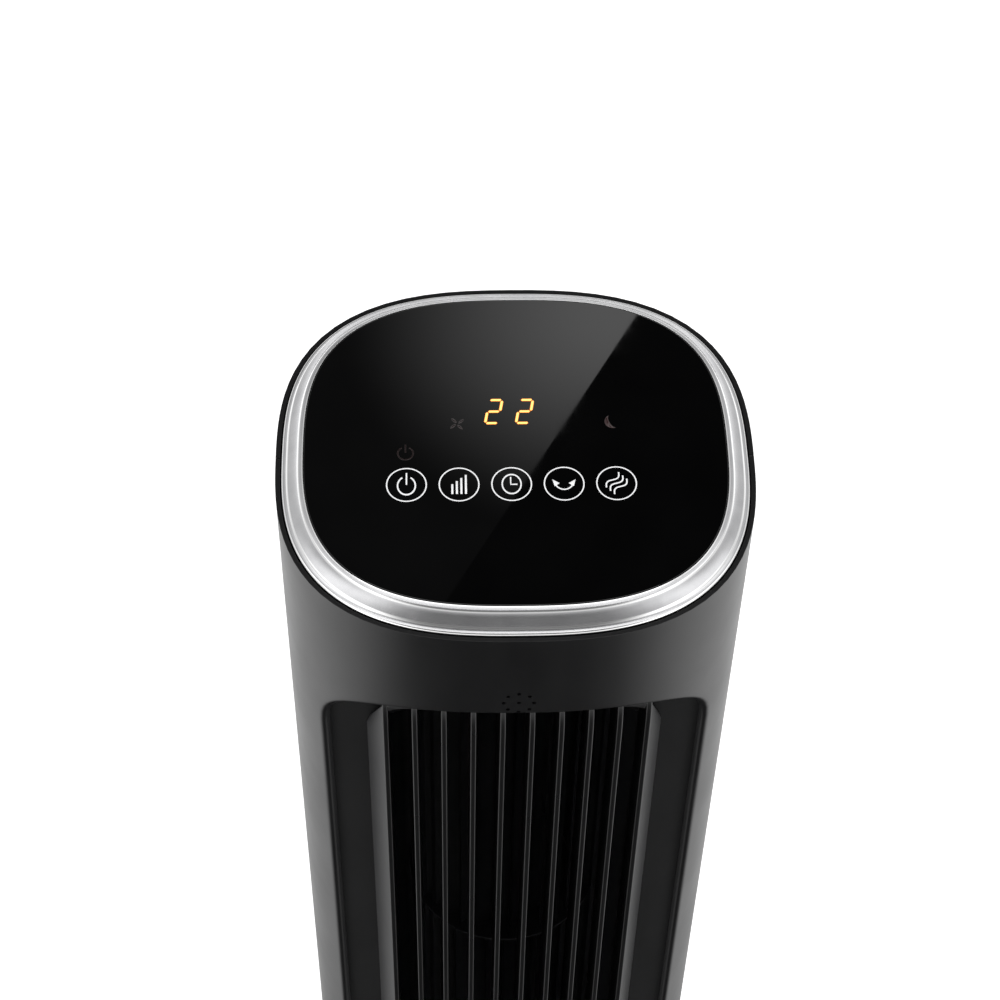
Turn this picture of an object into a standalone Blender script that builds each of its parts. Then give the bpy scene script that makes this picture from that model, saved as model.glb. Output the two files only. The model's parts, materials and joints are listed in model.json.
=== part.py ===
"""Tower fan: oval tower on a round base, with a glass control panel, a louvred outlet and a
cross-flow wheel. Metres, +Z up, front towards -Y, floor at z = 0."""

import math

import bmesh
import bpy

for old in list(bpy.data.objects):
    bpy.data.objects.remove(old, do_unlink=True)

# Tower section and head
tower_width = 0.170
tower_depth = 0.152
tower_power = 2.67
tower_bottom = 0.054
rim_height = 0.9014
head_tilt = math.radians(6.0)
casing_wall = 0.0020
section_points = 48
round_points = 48

# Clearances
gap = 0.0003
trim_gap = 0.0002
running_gap = 0.00025
seat_gap = 0.0001

# Bezel and panel, as distances in from the tower's outline and up from its rim
bezel_run = 0.0078
bezel_rise = 0.0057
bezel_ledge = 0.0030
bezel_skirt = 0.0080
panel_thickness = 0.0020

# Outlet window, louvres and side channels, measured down from the rim
window_half = 0.0705
window_drop = 0.0510
window_shoulder = 0.034
window_bottom = 0.190
channel_step = 0.0014
channel_thickness = 0.0020
channel_lap = 0.0040
frame_front_half = 0.0478
frame_foot_half = 0.0548
frame_foot_drop = 0.0775
frame_foot_shoulder = 0.015
frame_front_shoulder = 0.008
frame_wall = 0.0020
frame_top_drop = 0.0490
frame_inset = 0.0026
frame_lip = 0.0012
slat_count = 10
slat_pitch = 0.01045
slat_width = 0.0021
slat_inset = 0.0007
slat_curve_drop = 0.0672
slat_curve = 0.0076

# Sounder grille
sounder_drop = 0.0437
sounder_ring = 0.0053
sounder_hole = 0.0008
sounder_radius = 0.0044
sounder_length = 0.0055

# Rear intake and grip
intake_half = 0.058
intake_bottom = 0.205
intake_drop = 0.1114
intake_corner = 0.0055
intake_bars = 13
intake_rails = 5
intake_bar_width = 0.0022
grip_half = 0.038
grip_drop = 0.0534
grip_height = 0.028
grip_depth = 0.0155
grip_wall = 0.0020
grip_margin = 0.012

# Base
base_radius = 0.150
base_edge = 0.020
base_wall = 0.0025
base_lift = 0.0020
plate_thickness = 0.0040
neck_radius = 0.062
neck_top = 0.050
foot_count = 5
foot_radius = 0.0090
foot_height = 0.0030
foot_circle = 0.125
gland_rise = 0.0048
gland_radius = 0.0036
gland_flange = 0.0044
gland_bore = 0.0025

# Swivel
column_radius = 0.024
post_radius = 0.016
post_bore = 0.010
post_flange = 0.040
turntable_thickness = 0.0040
gear_module = 0.0020
sector_teeth = 30
sector_reach = 6
pinion_teeth = 10
gear_addendum = 0.85
gear_backlash = 0.07
gear_width = 0.006
swivel_nut_radius = 0.024
swivel_nut_height = 0.005
swing_motor_radius = 0.0245
swing_motor_height = 0.016
swing_shaft_radius = 0.0030

# Wheel and motor
wheel_y = 0.008
wheel_radius = 0.042
wheel_blade_depth = 0.009
wheel_blades = 16
wheel_discs = 4
wheel_end_room = 0.011
disc_thickness = 0.0016
hub_radius = 0.011
shaft_radius = 0.004
motor_radius = 0.036
motor_length = 0.042
bulkhead_thickness = 0.0030
lower_bulkhead = 0.172
upper_bulkhead_drop = 0.0444

# Control head
tray_drop = 0.0180
tray_thickness = 0.0020
board_drop = 0.0060
board_thickness = 0.0016
board_inset = 0.016
power_board_space = 0.020

# Screws
screw_radius = 0.0015
screw_head = 0.0030
screw_length = 0.012
boss_radius = 0.0045
boss_length = 0.014
boss_bite = 0.0008
boss_y = 0.030


def material(name, colour, roughness, metallic=0.0):
    mat = bpy.data.materials.new(name)
    mat.use_nodes = True
    shader = mat.node_tree.nodes["Principled BSDF"]
    shader.inputs["Base Color"].default_value = (*colour, 1.0)
    shader.inputs["Roughness"].default_value = roughness
    shader.inputs["Metallic"].default_value = metallic
    return mat


satin_black = ((0.020, 0.020, 0.022), 0.34)
matte_black = ((0.014, 0.014, 0.015), 0.62)
dark_grey = ((0.050, 0.050, 0.054), 0.50)
satin_silver = ((0.62, 0.62, 0.63), 0.28, 1.0)
zinc_steel = ((0.55, 0.56, 0.58), 0.35, 1.0)
panel_black = ((0.004, 0.004, 0.005), 0.05)
board_green = ((0.02, 0.13, 0.06), 0.45)
rubber_black = ((0.012, 0.012, 0.012), 0.85)
white_plastic = ((0.70, 0.70, 0.68), 0.45)
winding_copper = ((0.60, 0.28, 0.12), 0.35, 1.0)
bearing_bronze = ((0.52, 0.36, 0.16), 0.35, 1.0)


def node(name, bm, look, axle=None):
    """Turns a bmesh into a named object, hung on an axle empty if one is given."""
    bmesh.ops.recalc_face_normals(bm, faces=bm.faces)
    mesh = bpy.data.meshes.new(name)
    bm.to_mesh(mesh)
    bm.free()
    mesh.materials.append(material(name, *look))
    obj = bpy.data.objects.new(name, mesh)
    bpy.context.scene.collection.objects.link(obj)
    if axle:
        for vertex in mesh.vertices:
            vertex.co -= axle.location
        obj.parent = axle
    return obj


def axle_at(name, x, y, z):
    empty = bpy.data.objects.new(name, None)
    empty.location = (x, y, z)
    empty.empty_display_size = 0.02
    bpy.context.scene.collection.objects.link(empty)
    return empty


def smooth(obj, angle=35.0):
    for polygon in obj.data.polygons:
        polygon.use_smooth = True
    obj.data.set_sharp_from_angle(angle=math.radians(angle))


def boolean(obj, bm, operation, name):
    """Adds an exact Boolean with a hidden cutter made from the bmesh."""
    cutter = node(name, bm, matte_black)
    cutter.hide_render = True
    cutter.display_type = "WIRE"
    if obj.parent:
        for vertex in cutter.data.vertices:
            vertex.co -= obj.parent.location
        cutter.parent = obj.parent
    modifier = obj.modifiers.new(name, "BOOLEAN")
    modifier.operation = operation
    modifier.solver = "EXACT"
    modifier.object = cutter


def skin(bm, loops, ring=False):
    """Joins equal loops of points with quads; a ring closes on itself, otherwise the ends are capped."""
    rows = [[bm.verts.new(point) for point in loop] for loop in loops]
    count = len(rows[0])
    pairs = list(zip(rows, rows[1:] + rows[:1])) if ring else list(zip(rows, rows[1:]))
    for low, high in pairs:
        for i in range(count):
            j = (i + 1) % count
            bm.faces.new((low[i], low[j], high[j], high[i]))
    if not ring:
        bm.faces.new(rows[0][::-1])
        bm.faces.new(rows[-1])


def circle(radius, z, centre=(0.0, 0.0), points=28):
    turns = (2.0 * math.pi * i / points for i in range(points))
    return [(centre[0] + radius * math.cos(t), centre[1] + radius * math.sin(t), z) for t in turns]


def turned(profile, centre=(0.0, 0.0), points=28, bored=False):
    """A bmesh of revolution about a vertical axis from (radius, height) points."""
    bm = bmesh.new()
    skin(bm, [circle(r, z, centre, points) for r, z in profile], ring=bored)
    return bm


def turned_forward(profile, x, z, points=24):
    """A solid of revolution about an axis along Y from (radius, y) points."""
    bm = bmesh.new()
    loops = []
    for radius, y in profile:
        loops.append([(x + px, y, z + pz) for px, pz, _ in circle(radius, 0.0, points=points)])
    skin(bm, loops)
    return bm


def tube_profile(inner, outer, low, high):
    return [(inner, low), (outer, low), (outer, high), (inner, high)]


def add_rods(bm, places, radius, low, high, points=8):
    for x, y in places:
        skin(bm, [circle(radius, low, (x, y), points), circle(radius, high, (x, y), points)])


def add_box(bm, low, high):
    corners = [(low[0], low[1]), (high[0], low[1]), (high[0], high[1]), (low[0], high[1])]
    skin(bm, [[(x, y, z) for x, y in corners] for z in (low[2], high[2])])


def signed_power(value, power):
    return math.copysign(abs(value) ** power, value)


def outline_point(turn, inset):
    """One point of the tower's rounded section, moved in square to its surface."""
    half_x, half_y = tower_width / 2, tower_depth / 2
    c, s = math.cos(turn), math.sin(turn)
    x = half_x * signed_power(c, 2 / tower_power)
    y = half_y * signed_power(s, 2 / tower_power)
    nx = signed_power(c, 2 - 2 / tower_power) / half_x
    ny = signed_power(s, 2 - 2 / tower_power) / half_y
    length = math.hypot(nx, ny)
    return x - inset * nx / length, y - inset * ny / length


def tower_loop(inset, height):
    """The whole section at a height, which may depend on y."""
    points = (outline_point(2 * math.pi * i / section_points, inset) for i in range(section_points))
    return [(x, y, height(y)) for x, y in points]


def front_depth(x, inset):
    """How far from the axis the faceted wall of the tower lies at x, after an inset."""
    quarter = [outline_point(2 * math.pi * i / section_points, inset) for i in range(section_points // 4 + 1)]
    for (x0, y0), (x1, y1) in zip(quarter, quarter[1:]):
        if x1 <= abs(x) <= x0:
            return y0 + (y1 - y0) * (x0 - abs(x)) / (x0 - x1)
    return quarter[-1][1]


def side_reach(y, inset):
    """How far from the axis the faceted wall lies at y, after an inset."""
    quarter = [outline_point(2 * math.pi * i / section_points, inset) for i in range(section_points // 4 + 1)]
    for (x0, y0), (x1, y1) in zip(quarter, quarter[1:]):
        if y0 <= abs(y) <= y1:
            return x0 + (x1 - x0) * (abs(y) - y0) / (y1 - y0)
    return quarter[0][0]


def rim(y, up=0.0):
    return rim_height + y * math.tan(head_tilt) + up


def above_rim(up):
    return lambda y: rim(y, up)


def level(z):
    return lambda y: z


def arched_outline(half, top, bottom, shoulder, points=20):
    """Front view of an opening: straight sides with broad arches at the top and bottom."""
    outline = []
    for i in range(points + 1):
        turn = math.pi * i / points
        outline.append((half * signed_power(math.cos(turn), 0.5), top - shoulder * (1 - math.sin(turn))))
    for i in range(points + 1):
        turn = math.pi + math.pi * i / points
        outline.append((half * signed_power(math.cos(turn), 0.5), bottom + shoulder * (1 + math.sin(turn))))
    return outline


def rounded_rectangle(half, bottom, top, radius, points=6):
    outline = []
    corners = ((half - radius, top - radius), (radius - half, top - radius),
               (radius - half, bottom + radius), (half - radius, bottom + radius))
    for quarter, (cx, cz) in enumerate(corners):
        for i in range(points + 1):
            turn = (quarter + i / points) * math.pi / 2
            outline.append((cx + radius * math.cos(turn), cz + radius * math.sin(turn)))
    return outline


def through_y(outline, near, far):
    """A bmesh that carries a front-view outline from one depth to another."""
    bm = bmesh.new()
    skin(bm, [[(x, near, z) for x, z in outline], [(x, far, z) for x, z in outline]])
    return bm


def involute_gear(teeth, centre, phase, bore, reach=None):
    """Outlines of a spur gear's teeth and bore; with a reach, only the teeth near the phase are cut."""
    pressure = math.radians(20.0)
    pitch = gear_module * teeth / 2
    base = pitch * math.cos(pressure)
    root = pitch - 1.2 * gear_module
    tip = pitch + gear_addendum * gear_module
    start = max(base, root + 0.1 * gear_module)
    half_pitch_angle = (0.5 - gear_backlash) * math.pi / teeth

    def roll(radius):
        angle = math.acos(min(1.0, base / radius))
        return math.tan(angle) - angle

    numbers = range(teeth) if reach is None else range(-reach, reach + 1)
    outline = []
    for tooth in numbers:
        middle = phase + 2 * math.pi * tooth / teeth
        foot, crest = (half_pitch_angle + roll(pitch) - roll(radius) for radius in (start, tip))
        outline += [(root, middle - foot), (start, middle - foot), (tip, middle - crest),
                    (tip, middle + crest), (start, middle + foot), (root, middle + foot)]
    if reach is not None:
        first, last = outline[-1][1], outline[0][1] + 2 * math.pi
        steps = 20
        outline += [(root, first + (last - first) * i / steps) for i in range(1, steps)]
    flat = [(centre[0] + r * math.cos(a), centre[1] + r * math.sin(a)) for r, a in outline]
    inner = [(centre[0] + bore * math.cos(a), centre[1] + bore * math.sin(a)) for r, a in outline]
    return flat, inner


def bored_gear(teeth, centre, phase, bore, low, high, reach=None):
    flat, inner = involute_gear(teeth, centre, phase, bore, reach)
    bm = bmesh.new()
    loops = [[(x, y, low) for x, y in inner], [(x, y, low) for x, y in flat],
             [(x, y, high) for x, y in flat], [(x, y, high) for x, y in inner]]
    skin(bm, loops, ring=True)
    return bm


def screw_profile(tip, head_low):
    """Shank from its tip to the underside of the head, then a pan head, as (radius, height)."""
    way = 1 if head_low > tip else -1
    return [(screw_radius, tip), (screw_radius, head_low), (screw_head, head_low),
            (screw_head * 0.8, head_low + 0.0020 * way)]


# Heights and places that follow from the sizes above
plate_low = foot_height
plate_high = plate_low + plate_thickness
gland_middle = plate_high + gland_rise
turntable_low = tower_bottom + 0.002
turntable_high = turntable_low + turntable_thickness
gear_low = turntable_high + 0.002
gear_high = gear_low + gear_width
nut_high = gear_high + seat_gap + swivel_nut_height
post_high = nut_high + 0.001
gear_distance = gear_module * (sector_teeth + pinion_teeth) / 2
swing_motor_low = post_high + 0.002
window_top = rim_height - window_drop
channel_floor = front_depth(window_half, casing_wall) - channel_step
intake_top = rim_height - intake_drop
grip_top = rim_height - grip_drop
grip_bottom = grip_top - grip_height
rear_split = grip_bottom - grip_margin
upper_bulkhead = rim_height - upper_bulkhead_drop
wheel_top = upper_bulkhead - wheel_end_room
wheel_bottom = lower_bulkhead + bulkhead_thickness + wheel_end_room
boss_x = side_reach(boss_y, casing_wall) + boss_bite - boss_radius
boss_places = [(sx * boss_x, sy * boss_y) for sx in (-1, 1) for sy in (-1, 1)]
wheel_axis = axle_at("wheel_axis", 0.0, wheel_y, wheel_bottom)
swing_axis = axle_at("swing_axis", 0.0, gear_distance, gear_low)


def make_base_plate():
    radius = base_radius - base_wall - gap
    profile = tube_profile(post_bore, radius, plate_low, plate_high)
    obj = node("base_plate", turned(profile, points=round_points, bored=True), dark_grey)
    smooth(obj)
    holes = bmesh.new()
    add_rods(holes, post_screw_places(), screw_radius + gap, plate_low - 0.001, plate_high + 0.001)
    boolean(obj, holes, "DIFFERENCE", "base_plate_holes")


def make_feet():
    for i in range(foot_count):
        turn = math.pi / 2 + 2 * math.pi * i / foot_count
        centre = (foot_circle * math.cos(turn), foot_circle * math.sin(turn))
        profile = [(foot_radius - 0.001, 0.0), (foot_radius, 0.001), (foot_radius, foot_height - seat_gap)]
        smooth(node(f"foot_{i + 1}", turned(profile, centre, points=14), rubber_black))


def offset_profile(points, distance):
    """Moves a (radius, height) profile square to itself, to the right of its direction."""
    moved = []
    for i, (r, z) in enumerate(points):
        before = points[max(i - 1, 0)]
        after = points[min(i + 1, len(points) - 1)]
        dr, dz = after[0] - before[0], after[1] - before[1]
        length = math.hypot(dr, dz)
        moved.append((r - distance * dz / length, z + distance * dr / length))
    return moved


def cover_profile():
    """The cover's outer surface from the edge of the base up to the top of its neck."""
    edge = [(base_radius, base_lift), (base_radius, base_edge - 0.005), (base_radius - 0.0035, base_edge)]
    slope_run = base_radius - neck_radius - 0.012
    slope = []
    for i in range(1, 5):
        share = i / 4
        rise = (neck_top - 0.013 - base_edge) * share ** 1.25
        slope.append((base_radius - 0.0035 - (slope_run - 0.0035) * share, base_edge + rise))
    fillet = []
    for i in range(1, 4):
        turn = math.radians(24 + (90 - 24) * i / 3)
        fillet.append((neck_radius + 0.012 * (1 - math.sin(turn)), neck_top - 0.003 - 0.010 * math.cos(turn)))
    return edge + slope + fillet


def make_base_cover():
    outer = cover_profile()
    inner = offset_profile(outer, base_wall)
    inner[0] = (base_radius - base_wall, base_lift)
    inner[-1] = (neck_radius - base_wall, inner[-1][1])
    mouth = column_radius + 0.002
    profile = outer + [(neck_radius - 0.0015, neck_top), (mouth, neck_top), (mouth, neck_top - base_wall),
                       (neck_radius - base_wall, neck_top - base_wall)] + inner[-3:3:-2] + inner[2::-1]
    obj = node("base_cover", turned(profile, points=round_points, bored=True), satin_black)
    smooth(obj)
    reach = [(gland_radius + gap, base_radius - 0.012), (gland_radius + gap, base_radius + 0.002)]
    hole = turned_forward(reach, 0.0, gland_middle)
    boolean(obj, hole, "DIFFERENCE", "base_cover_gland_hole")


def make_cord_gland():
    face = base_radius - 0.0008
    back = base_radius - base_wall - gap
    bm = bmesh.new()
    loops = []
    shoulder = back - 0.0025
    profile = [(gland_bore, back - 0.006), (gland_flange, back - 0.006), (gland_flange, shoulder),
               (gland_radius, shoulder), (gland_radius, face), (gland_bore, face)]
    for radius, y in profile:
        loops.append([(x, y, gland_middle + z) for x, z, _ in circle(radius, 0.0, points=14)])
    skin(bm, loops, ring=True)
    smooth(node("cord_gland", bm, rubber_black))


def post_screw_places():
    places = []
    for i in range(3):
        turn = math.pi / 2 + 2 * math.pi * i / 3
        places.append((0.033 * math.cos(turn), 0.033 * math.sin(turn)))
    return places


def make_pivot_post():
    low = plate_high + seat_gap
    shoulder = turntable_low - seat_gap
    profile = [(post_bore, low), (post_flange, low), (post_flange, low + 0.003), (column_radius, low + 0.003),
               (column_radius, shoulder), (post_radius, shoulder), (post_radius, post_high),
               (post_bore, post_high)]
    obj = node("pivot_post", turned(profile, bored=True), dark_grey)
    smooth(obj)
    holes = bmesh.new()
    add_rods(holes, post_screw_places(), screw_radius + gap, low - 0.001, low + 0.004)
    boolean(obj, holes, "DIFFERENCE", "pivot_post_holes")


def make_post_screws():
    head = plate_high + seat_gap + 0.003 + seat_gap
    for i, place in enumerate(post_screw_places()):
        bm = turned(screw_profile(plate_low, head), place, points=8)
        smooth(node(f"post_screw_{i + 1}", bm, zinc_steel))


def make_sector_gear():
    bore = post_radius + trim_gap
    bm = bored_gear(sector_teeth, (0.0, 0.0), math.pi / 2, bore, gear_low, gear_high, sector_reach)
    node("sector_gear", bm, white_plastic)


def make_swivel_nut():
    low = gear_high + seat_gap
    flats = []
    for i in range(24):
        turn = 2 * math.pi * i / 24
        radius = swivel_nut_radius * math.cos(math.pi / 6) / math.cos(turn % (math.pi / 3) - math.pi / 6)
        flats.append((radius * math.cos(turn), radius * math.sin(turn)))
    bore = circle(post_radius + running_gap, 0.0, points=24)
    bm = bmesh.new()
    skin(bm, [[(x, y, low) for x, y, _ in bore], [(x, y, low) for x, y in flats],
              [(x, y, nut_high) for x, y in flats], [(x, y, nut_high) for x, y, _ in bore]], ring=True)
    node("swivel_nut", bm, zinc_steel)


def make_swing_pinion():
    phase = -math.pi / 2 + math.pi / pinion_teeth
    bore = swing_shaft_radius + 0.0001
    bm = bored_gear(pinion_teeth, (0.0, gear_distance), phase, bore, gear_low, gear_high)
    node("swing_pinion", bm, white_plastic, swing_axis)


def make_swing_shaft():
    profile = [(swing_shaft_radius, gear_low), (swing_shaft_radius, swing_motor_low + 0.006)]
    smooth(node("swing_shaft", turned(profile, (0.0, gear_distance), points=16), zinc_steel, swing_axis))


def swing_motor_posts():
    return [(-0.030, gear_distance), (0.030, gear_distance)]


def make_swing_motor():
    low, high = swing_motor_low, swing_motor_low + swing_motor_height
    centre = (0.0, gear_distance)
    bore = swing_shaft_radius + running_gap
    profile = [(bore, low), (swing_motor_radius, low), (swing_motor_radius, high), (bore, high)]
    obj = node("swing_motor", turned(profile, centre, bored=True), zinc_steel)
    smooth(obj)
    ears = bmesh.new()
    add_box(ears, (-0.035, gear_distance - 0.006, low), (-0.018, gear_distance + 0.006, low + 0.0025))
    add_box(ears, (0.018, gear_distance - 0.006, low), (0.035, gear_distance + 0.006, low + 0.0025))
    boolean(obj, ears, "UNION", "swing_motor_ears")


def make_turntable():
    bm = bmesh.new()
    skin(bm, [tower_loop(casing_wall + gap, level(z)) for z in (turntable_low, turntable_high)])
    obj = node("turntable", bm, matte_black)
    low, high = turntable_low - 0.001, turntable_high + 0.001
    holes = turned([(post_radius + running_gap, low), (post_radius + running_gap, high)])
    add_rods(holes, boss_places, screw_radius + gap, low, high)
    boolean(obj, holes, "DIFFERENCE", "turntable_holes")
    posts = bmesh.new()
    add_rods(posts, swing_motor_posts(), 0.004, turntable_high - 0.001, swing_motor_low - seat_gap)
    boolean(obj, posts, "UNION", "turntable_posts")


def half_shell(front, height_low, height_high):
    """One half of the casing: outer and inner walls in one closed outline."""
    side = -1 if front else 1
    half = section_points // 2
    turns = [(math.pi if front else 0.0) + math.pi * i / half for i in range(half + 1)]
    outline = []
    for inset, walk in ((0.0, turns), (casing_wall, turns[::-1])):
        for turn in walk:
            x, y = outline_point(turn, inset)
            outline.append((x, side * max(abs(y), gap / 2)))
    bm = bmesh.new()
    skin(bm, [[(x, y, height_low(y)) for x, y in outline], [(x, y, height_high(y)) for x, y in outline]])
    return bm


def add_bosses(obj, side, foot=False, head=False):
    """Screw bosses against the inside of the wall, over the turntable and under the tray."""
    bosses = bmesh.new()
    holes = bmesh.new()
    for sx in (-1, 1):
        centre = (sx * boss_x, side * boss_y)
        spans = []
        if foot:
            spans.append((turntable_high + gap, turntable_high + boss_length, -0.001, -0.002))
        if head:
            tray_under = rim(centre[1], -tray_drop) - 0.0010
            spans.append((tray_under - boss_length, tray_under, 0.002, 0.001))
        for low, high, from_low, from_high in spans:
            skin(bosses, [circle(boss_radius, z, centre, 10) for z in (low, high)])
            ends = (low + from_low, high + from_high)
            skin(holes, [circle(screw_radius + gap, z, centre, 8) for z in ends])
    boolean(obj, bosses, "UNION", obj.name + "_bosses")
    boolean(obj, holes, "DIFFERENCE", obj.name + "_boss_holes")


def make_front_casing():
    obj = node("front_casing", half_shell(True, level(tower_bottom), above_rim(0.0)), satin_black)
    smooth(obj)
    outline = arched_outline(window_half, window_top, window_bottom, window_shoulder)
    boolean(obj, through_y(outline, -tower_depth / 2 - 0.01, -0.020), "DIFFERENCE", "front_casing_window")
    holes = bmesh.new()
    centres = [(0.0, 0.0)]
    for i in range(8):
        turn = 2 * math.pi * i / 8
        centres.append((sounder_ring * math.cos(turn), sounder_ring * math.sin(turn)))
    for x, z in centres:
        spot = rim_height - sounder_drop + z
        ring = circle(sounder_hole, 0.0, points=8)
        skin(holes, [[(x + px, y, spot + pz) for px, pz, _ in ring]
                     for y in (-tower_depth / 2 - 0.002, -tower_depth / 2 + 0.005)])
    boolean(obj, holes, "DIFFERENCE", "front_casing_sounder_holes")
    add_bosses(obj, -1, foot=True, head=True)


def make_rear_casing():
    obj = node("rear_casing", half_shell(False, level(tower_bottom), level(rear_split - gap)), satin_black)
    smooth(obj)
    intake = rounded_rectangle(intake_half, intake_bottom, intake_top, intake_corner)
    boolean(obj, through_y(intake, 0.045, tower_depth / 2 + 0.01), "DIFFERENCE", "rear_casing_intake")
    add_bosses(obj, 1, foot=True)


def make_rear_head():
    """Top of the rear casing, a piece of its own with the opening of the hand grip."""
    obj = node("rear_head", half_shell(False, level(rear_split), above_rim(0.0)), satin_black)
    smooth(obj)
    grip = rounded_rectangle(grip_half, grip_bottom, grip_top, 0.010)
    boolean(obj, through_y(grip, 0.055, tower_depth / 2 + 0.01), "DIFFERENCE", "rear_head_grip")
    add_bosses(obj, 1, head=True)


def make_casing_screws():
    names = [f"casing_screw_{i + 1}" for i in range(len(boss_places))]
    for name, place in zip(names, boss_places):
        profile = screw_profile(turntable_low - seat_gap + screw_length, turntable_low - seat_gap)
        smooth(node(name, turned(profile, place, points=8), zinc_steel))


def make_tray_screws():
    names = [f"tray_screw_{i + 1}" for i in range(len(boss_places))]
    for name, place in zip(names, boss_places):
        head = rim(place[1], -tray_drop + tray_thickness) + 0.0006
        smooth(node(name, turned(screw_profile(head - screw_length, head), place, points=8), zinc_steel))


def channel_loop(half, drop, shoulder, margin, y):
    outline = arched_outline(half, rim_height - drop, window_bottom + margin, shoulder)
    return [(x, y, z) for x, z in outline]


def make_channel_inlay():
    """Flat floor of the recess around the louvre block, tucked behind the window's edge."""
    half = side_reach(channel_floor, casing_wall + gap)
    hole_half = frame_foot_half - channel_lap
    hole_drop = frame_foot_drop + channel_lap
    foot_margin = frame_foot_drop - window_drop
    bm = bmesh.new()
    loops = []
    for y in (-channel_floor, -channel_floor + channel_thickness):
        outer = channel_loop(half, window_drop - 0.004, window_shoulder, -0.004, y)
        inner = channel_loop(hole_half, hole_drop, frame_foot_shoulder, foot_margin + channel_lap, y)
        loops += [inner, outer] if not loops else [outer, inner]
    skin(bm, loops, ring=True)
    node("channel_inlay", bm, matte_black)


def slat_outline(x, low, high):
    """Side view of a slat: its front curves back near both ends, where it runs under the casing's lip."""
    full = front_depth(x, slat_inset)
    root = channel_floor + 0.0006
    start = rim_height - slat_curve_drop
    top = []
    for turn in (90.0, 68.0, 45.0, 20.0, 0.0):
        back = slat_curve * (1 - math.cos(math.radians(turn)))
        top.append((back - full, start + (high - start) * math.sin(math.radians(turn))))
    bottom = [(y, low + high - z) for y, z in top]
    return [(-root, low)] + bottom + top[::-1] + [(-root, high)]


def make_outlet_grille():
    """Louvre block: a ring with slanted sides, with upright slats across it."""
    foot_margin = frame_foot_drop - window_drop
    top_margin = frame_top_drop - window_drop
    foot_y = -channel_floor - 0.0005

    def front_loop(inward, inset, slope=0.0):
        top = rim_height - frame_top_drop - inward - slope
        bottom = window_bottom + top_margin + inward + slope
        outline = arched_outline(frame_front_half - inward, top, bottom, frame_front_shoulder)
        return [(x, -front_depth(x, inset), z) for x, z in outline]

    bm = bmesh.new()
    skin(bm, [
        front_loop(frame_lip, frame_inset),
        front_loop(0.0, frame_inset),
        channel_loop(frame_foot_half, frame_foot_drop, frame_foot_shoulder, foot_margin, foot_y),
        channel_loop(frame_foot_half - frame_wall, frame_foot_drop + frame_wall, frame_foot_shoulder,
                     foot_margin + frame_wall, foot_y),
        front_loop(frame_lip, frame_inset + 0.003, 0.007),
    ], ring=True)
    obj = node("outlet_grille", bm, satin_black)
    slats = bmesh.new()
    low = window_bottom + top_margin + frame_lip / 2
    high = rim_height - frame_top_drop - frame_lip / 2
    for i in range(slat_count):
        x = (i - (slat_count - 1) / 2) * slat_pitch
        outline = slat_outline(x, low, high)
        skin(slats, [[(x + side, y, z) for y, z in outline] for side in (-slat_width / 2, slat_width / 2)])
    boolean(obj, slats, "UNION", "outlet_grille_slats")


def make_sounder():
    y = -tower_depth / 2 + casing_wall + gap
    profile = [(sounder_radius, y), (sounder_radius, y + sounder_length)]
    smooth(node("sounder", turned_forward(profile, 0.0, rim_height - sounder_drop), rubber_black))


def make_intake_grille():
    """Rear grille: curved rails tied together by upright bars that stand flush with the casing."""
    inset_low, inset_high = casing_wall + gap, casing_wall + gap + 0.0025
    rail_half = intake_half + 0.003
    steps = 10
    xs = [rail_half * (2 * i / steps - 1) for i in range(steps + 1)]
    rails = bmesh.new()
    span = intake_top - intake_bottom
    for i in range(intake_rails):
        middle = intake_bottom + span * i / (intake_rails - 1)
        half_height = 0.005 if i in (0, intake_rails - 1) else 0.0015
        outline = [(x, front_depth(x, inset_low)) for x in xs]
        outline += [(x, front_depth(x, inset_high)) for x in xs[::-1]]
        ends = (middle - half_height, middle + half_height)
        skin(rails, [[(x, y, z) for x, y in outline] for z in ends])
    bars = bmesh.new()
    pitch = 2 * intake_half / intake_bars
    for i in range(intake_bars):
        x = (i - (intake_bars - 1) / 2) * pitch
        face = front_depth(x, 0.0006)
        back = front_depth(x, inset_high - 0.0006)
        low = (x - intake_bar_width / 2, back, intake_bottom + 0.0012)
        add_box(bars, low, (x + intake_bar_width / 2, face, intake_top - 0.0012))
    obj = node("intake_grille", rails, satin_black)
    boolean(obj, bars, "UNION", "intake_grille_bars")


def make_grip_cup():
    """Recessed hand grip: a cup open to the rear, its rim tucked behind the casing."""
    flange = 0.004
    front = tower_depth / 2 - grip_depth - grip_wall
    outline = rounded_rectangle(grip_half + flange, grip_bottom - flange, grip_top + flange, 0.012)
    bm = through_y(outline, front, tower_depth / 2)
    obj = node("grip_cup", bm, matte_black)
    limit = bmesh.new()
    low, high = level(grip_bottom - 0.02), level(grip_top + 0.02)
    skin(limit, [tower_loop(casing_wall + gap, low), tower_loop(casing_wall + gap, high)])
    boolean(obj, limit, "INTERSECT", "grip_cup_limit")
    hollow = through_y(rounded_rectangle(grip_half - 0.0005, grip_bottom + 0.0005, grip_top - 0.0005, 0.0095),
                       front + grip_wall, tower_depth / 2 + 0.01)
    boolean(obj, hollow, "DIFFERENCE", "grip_cup_hollow")


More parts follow.
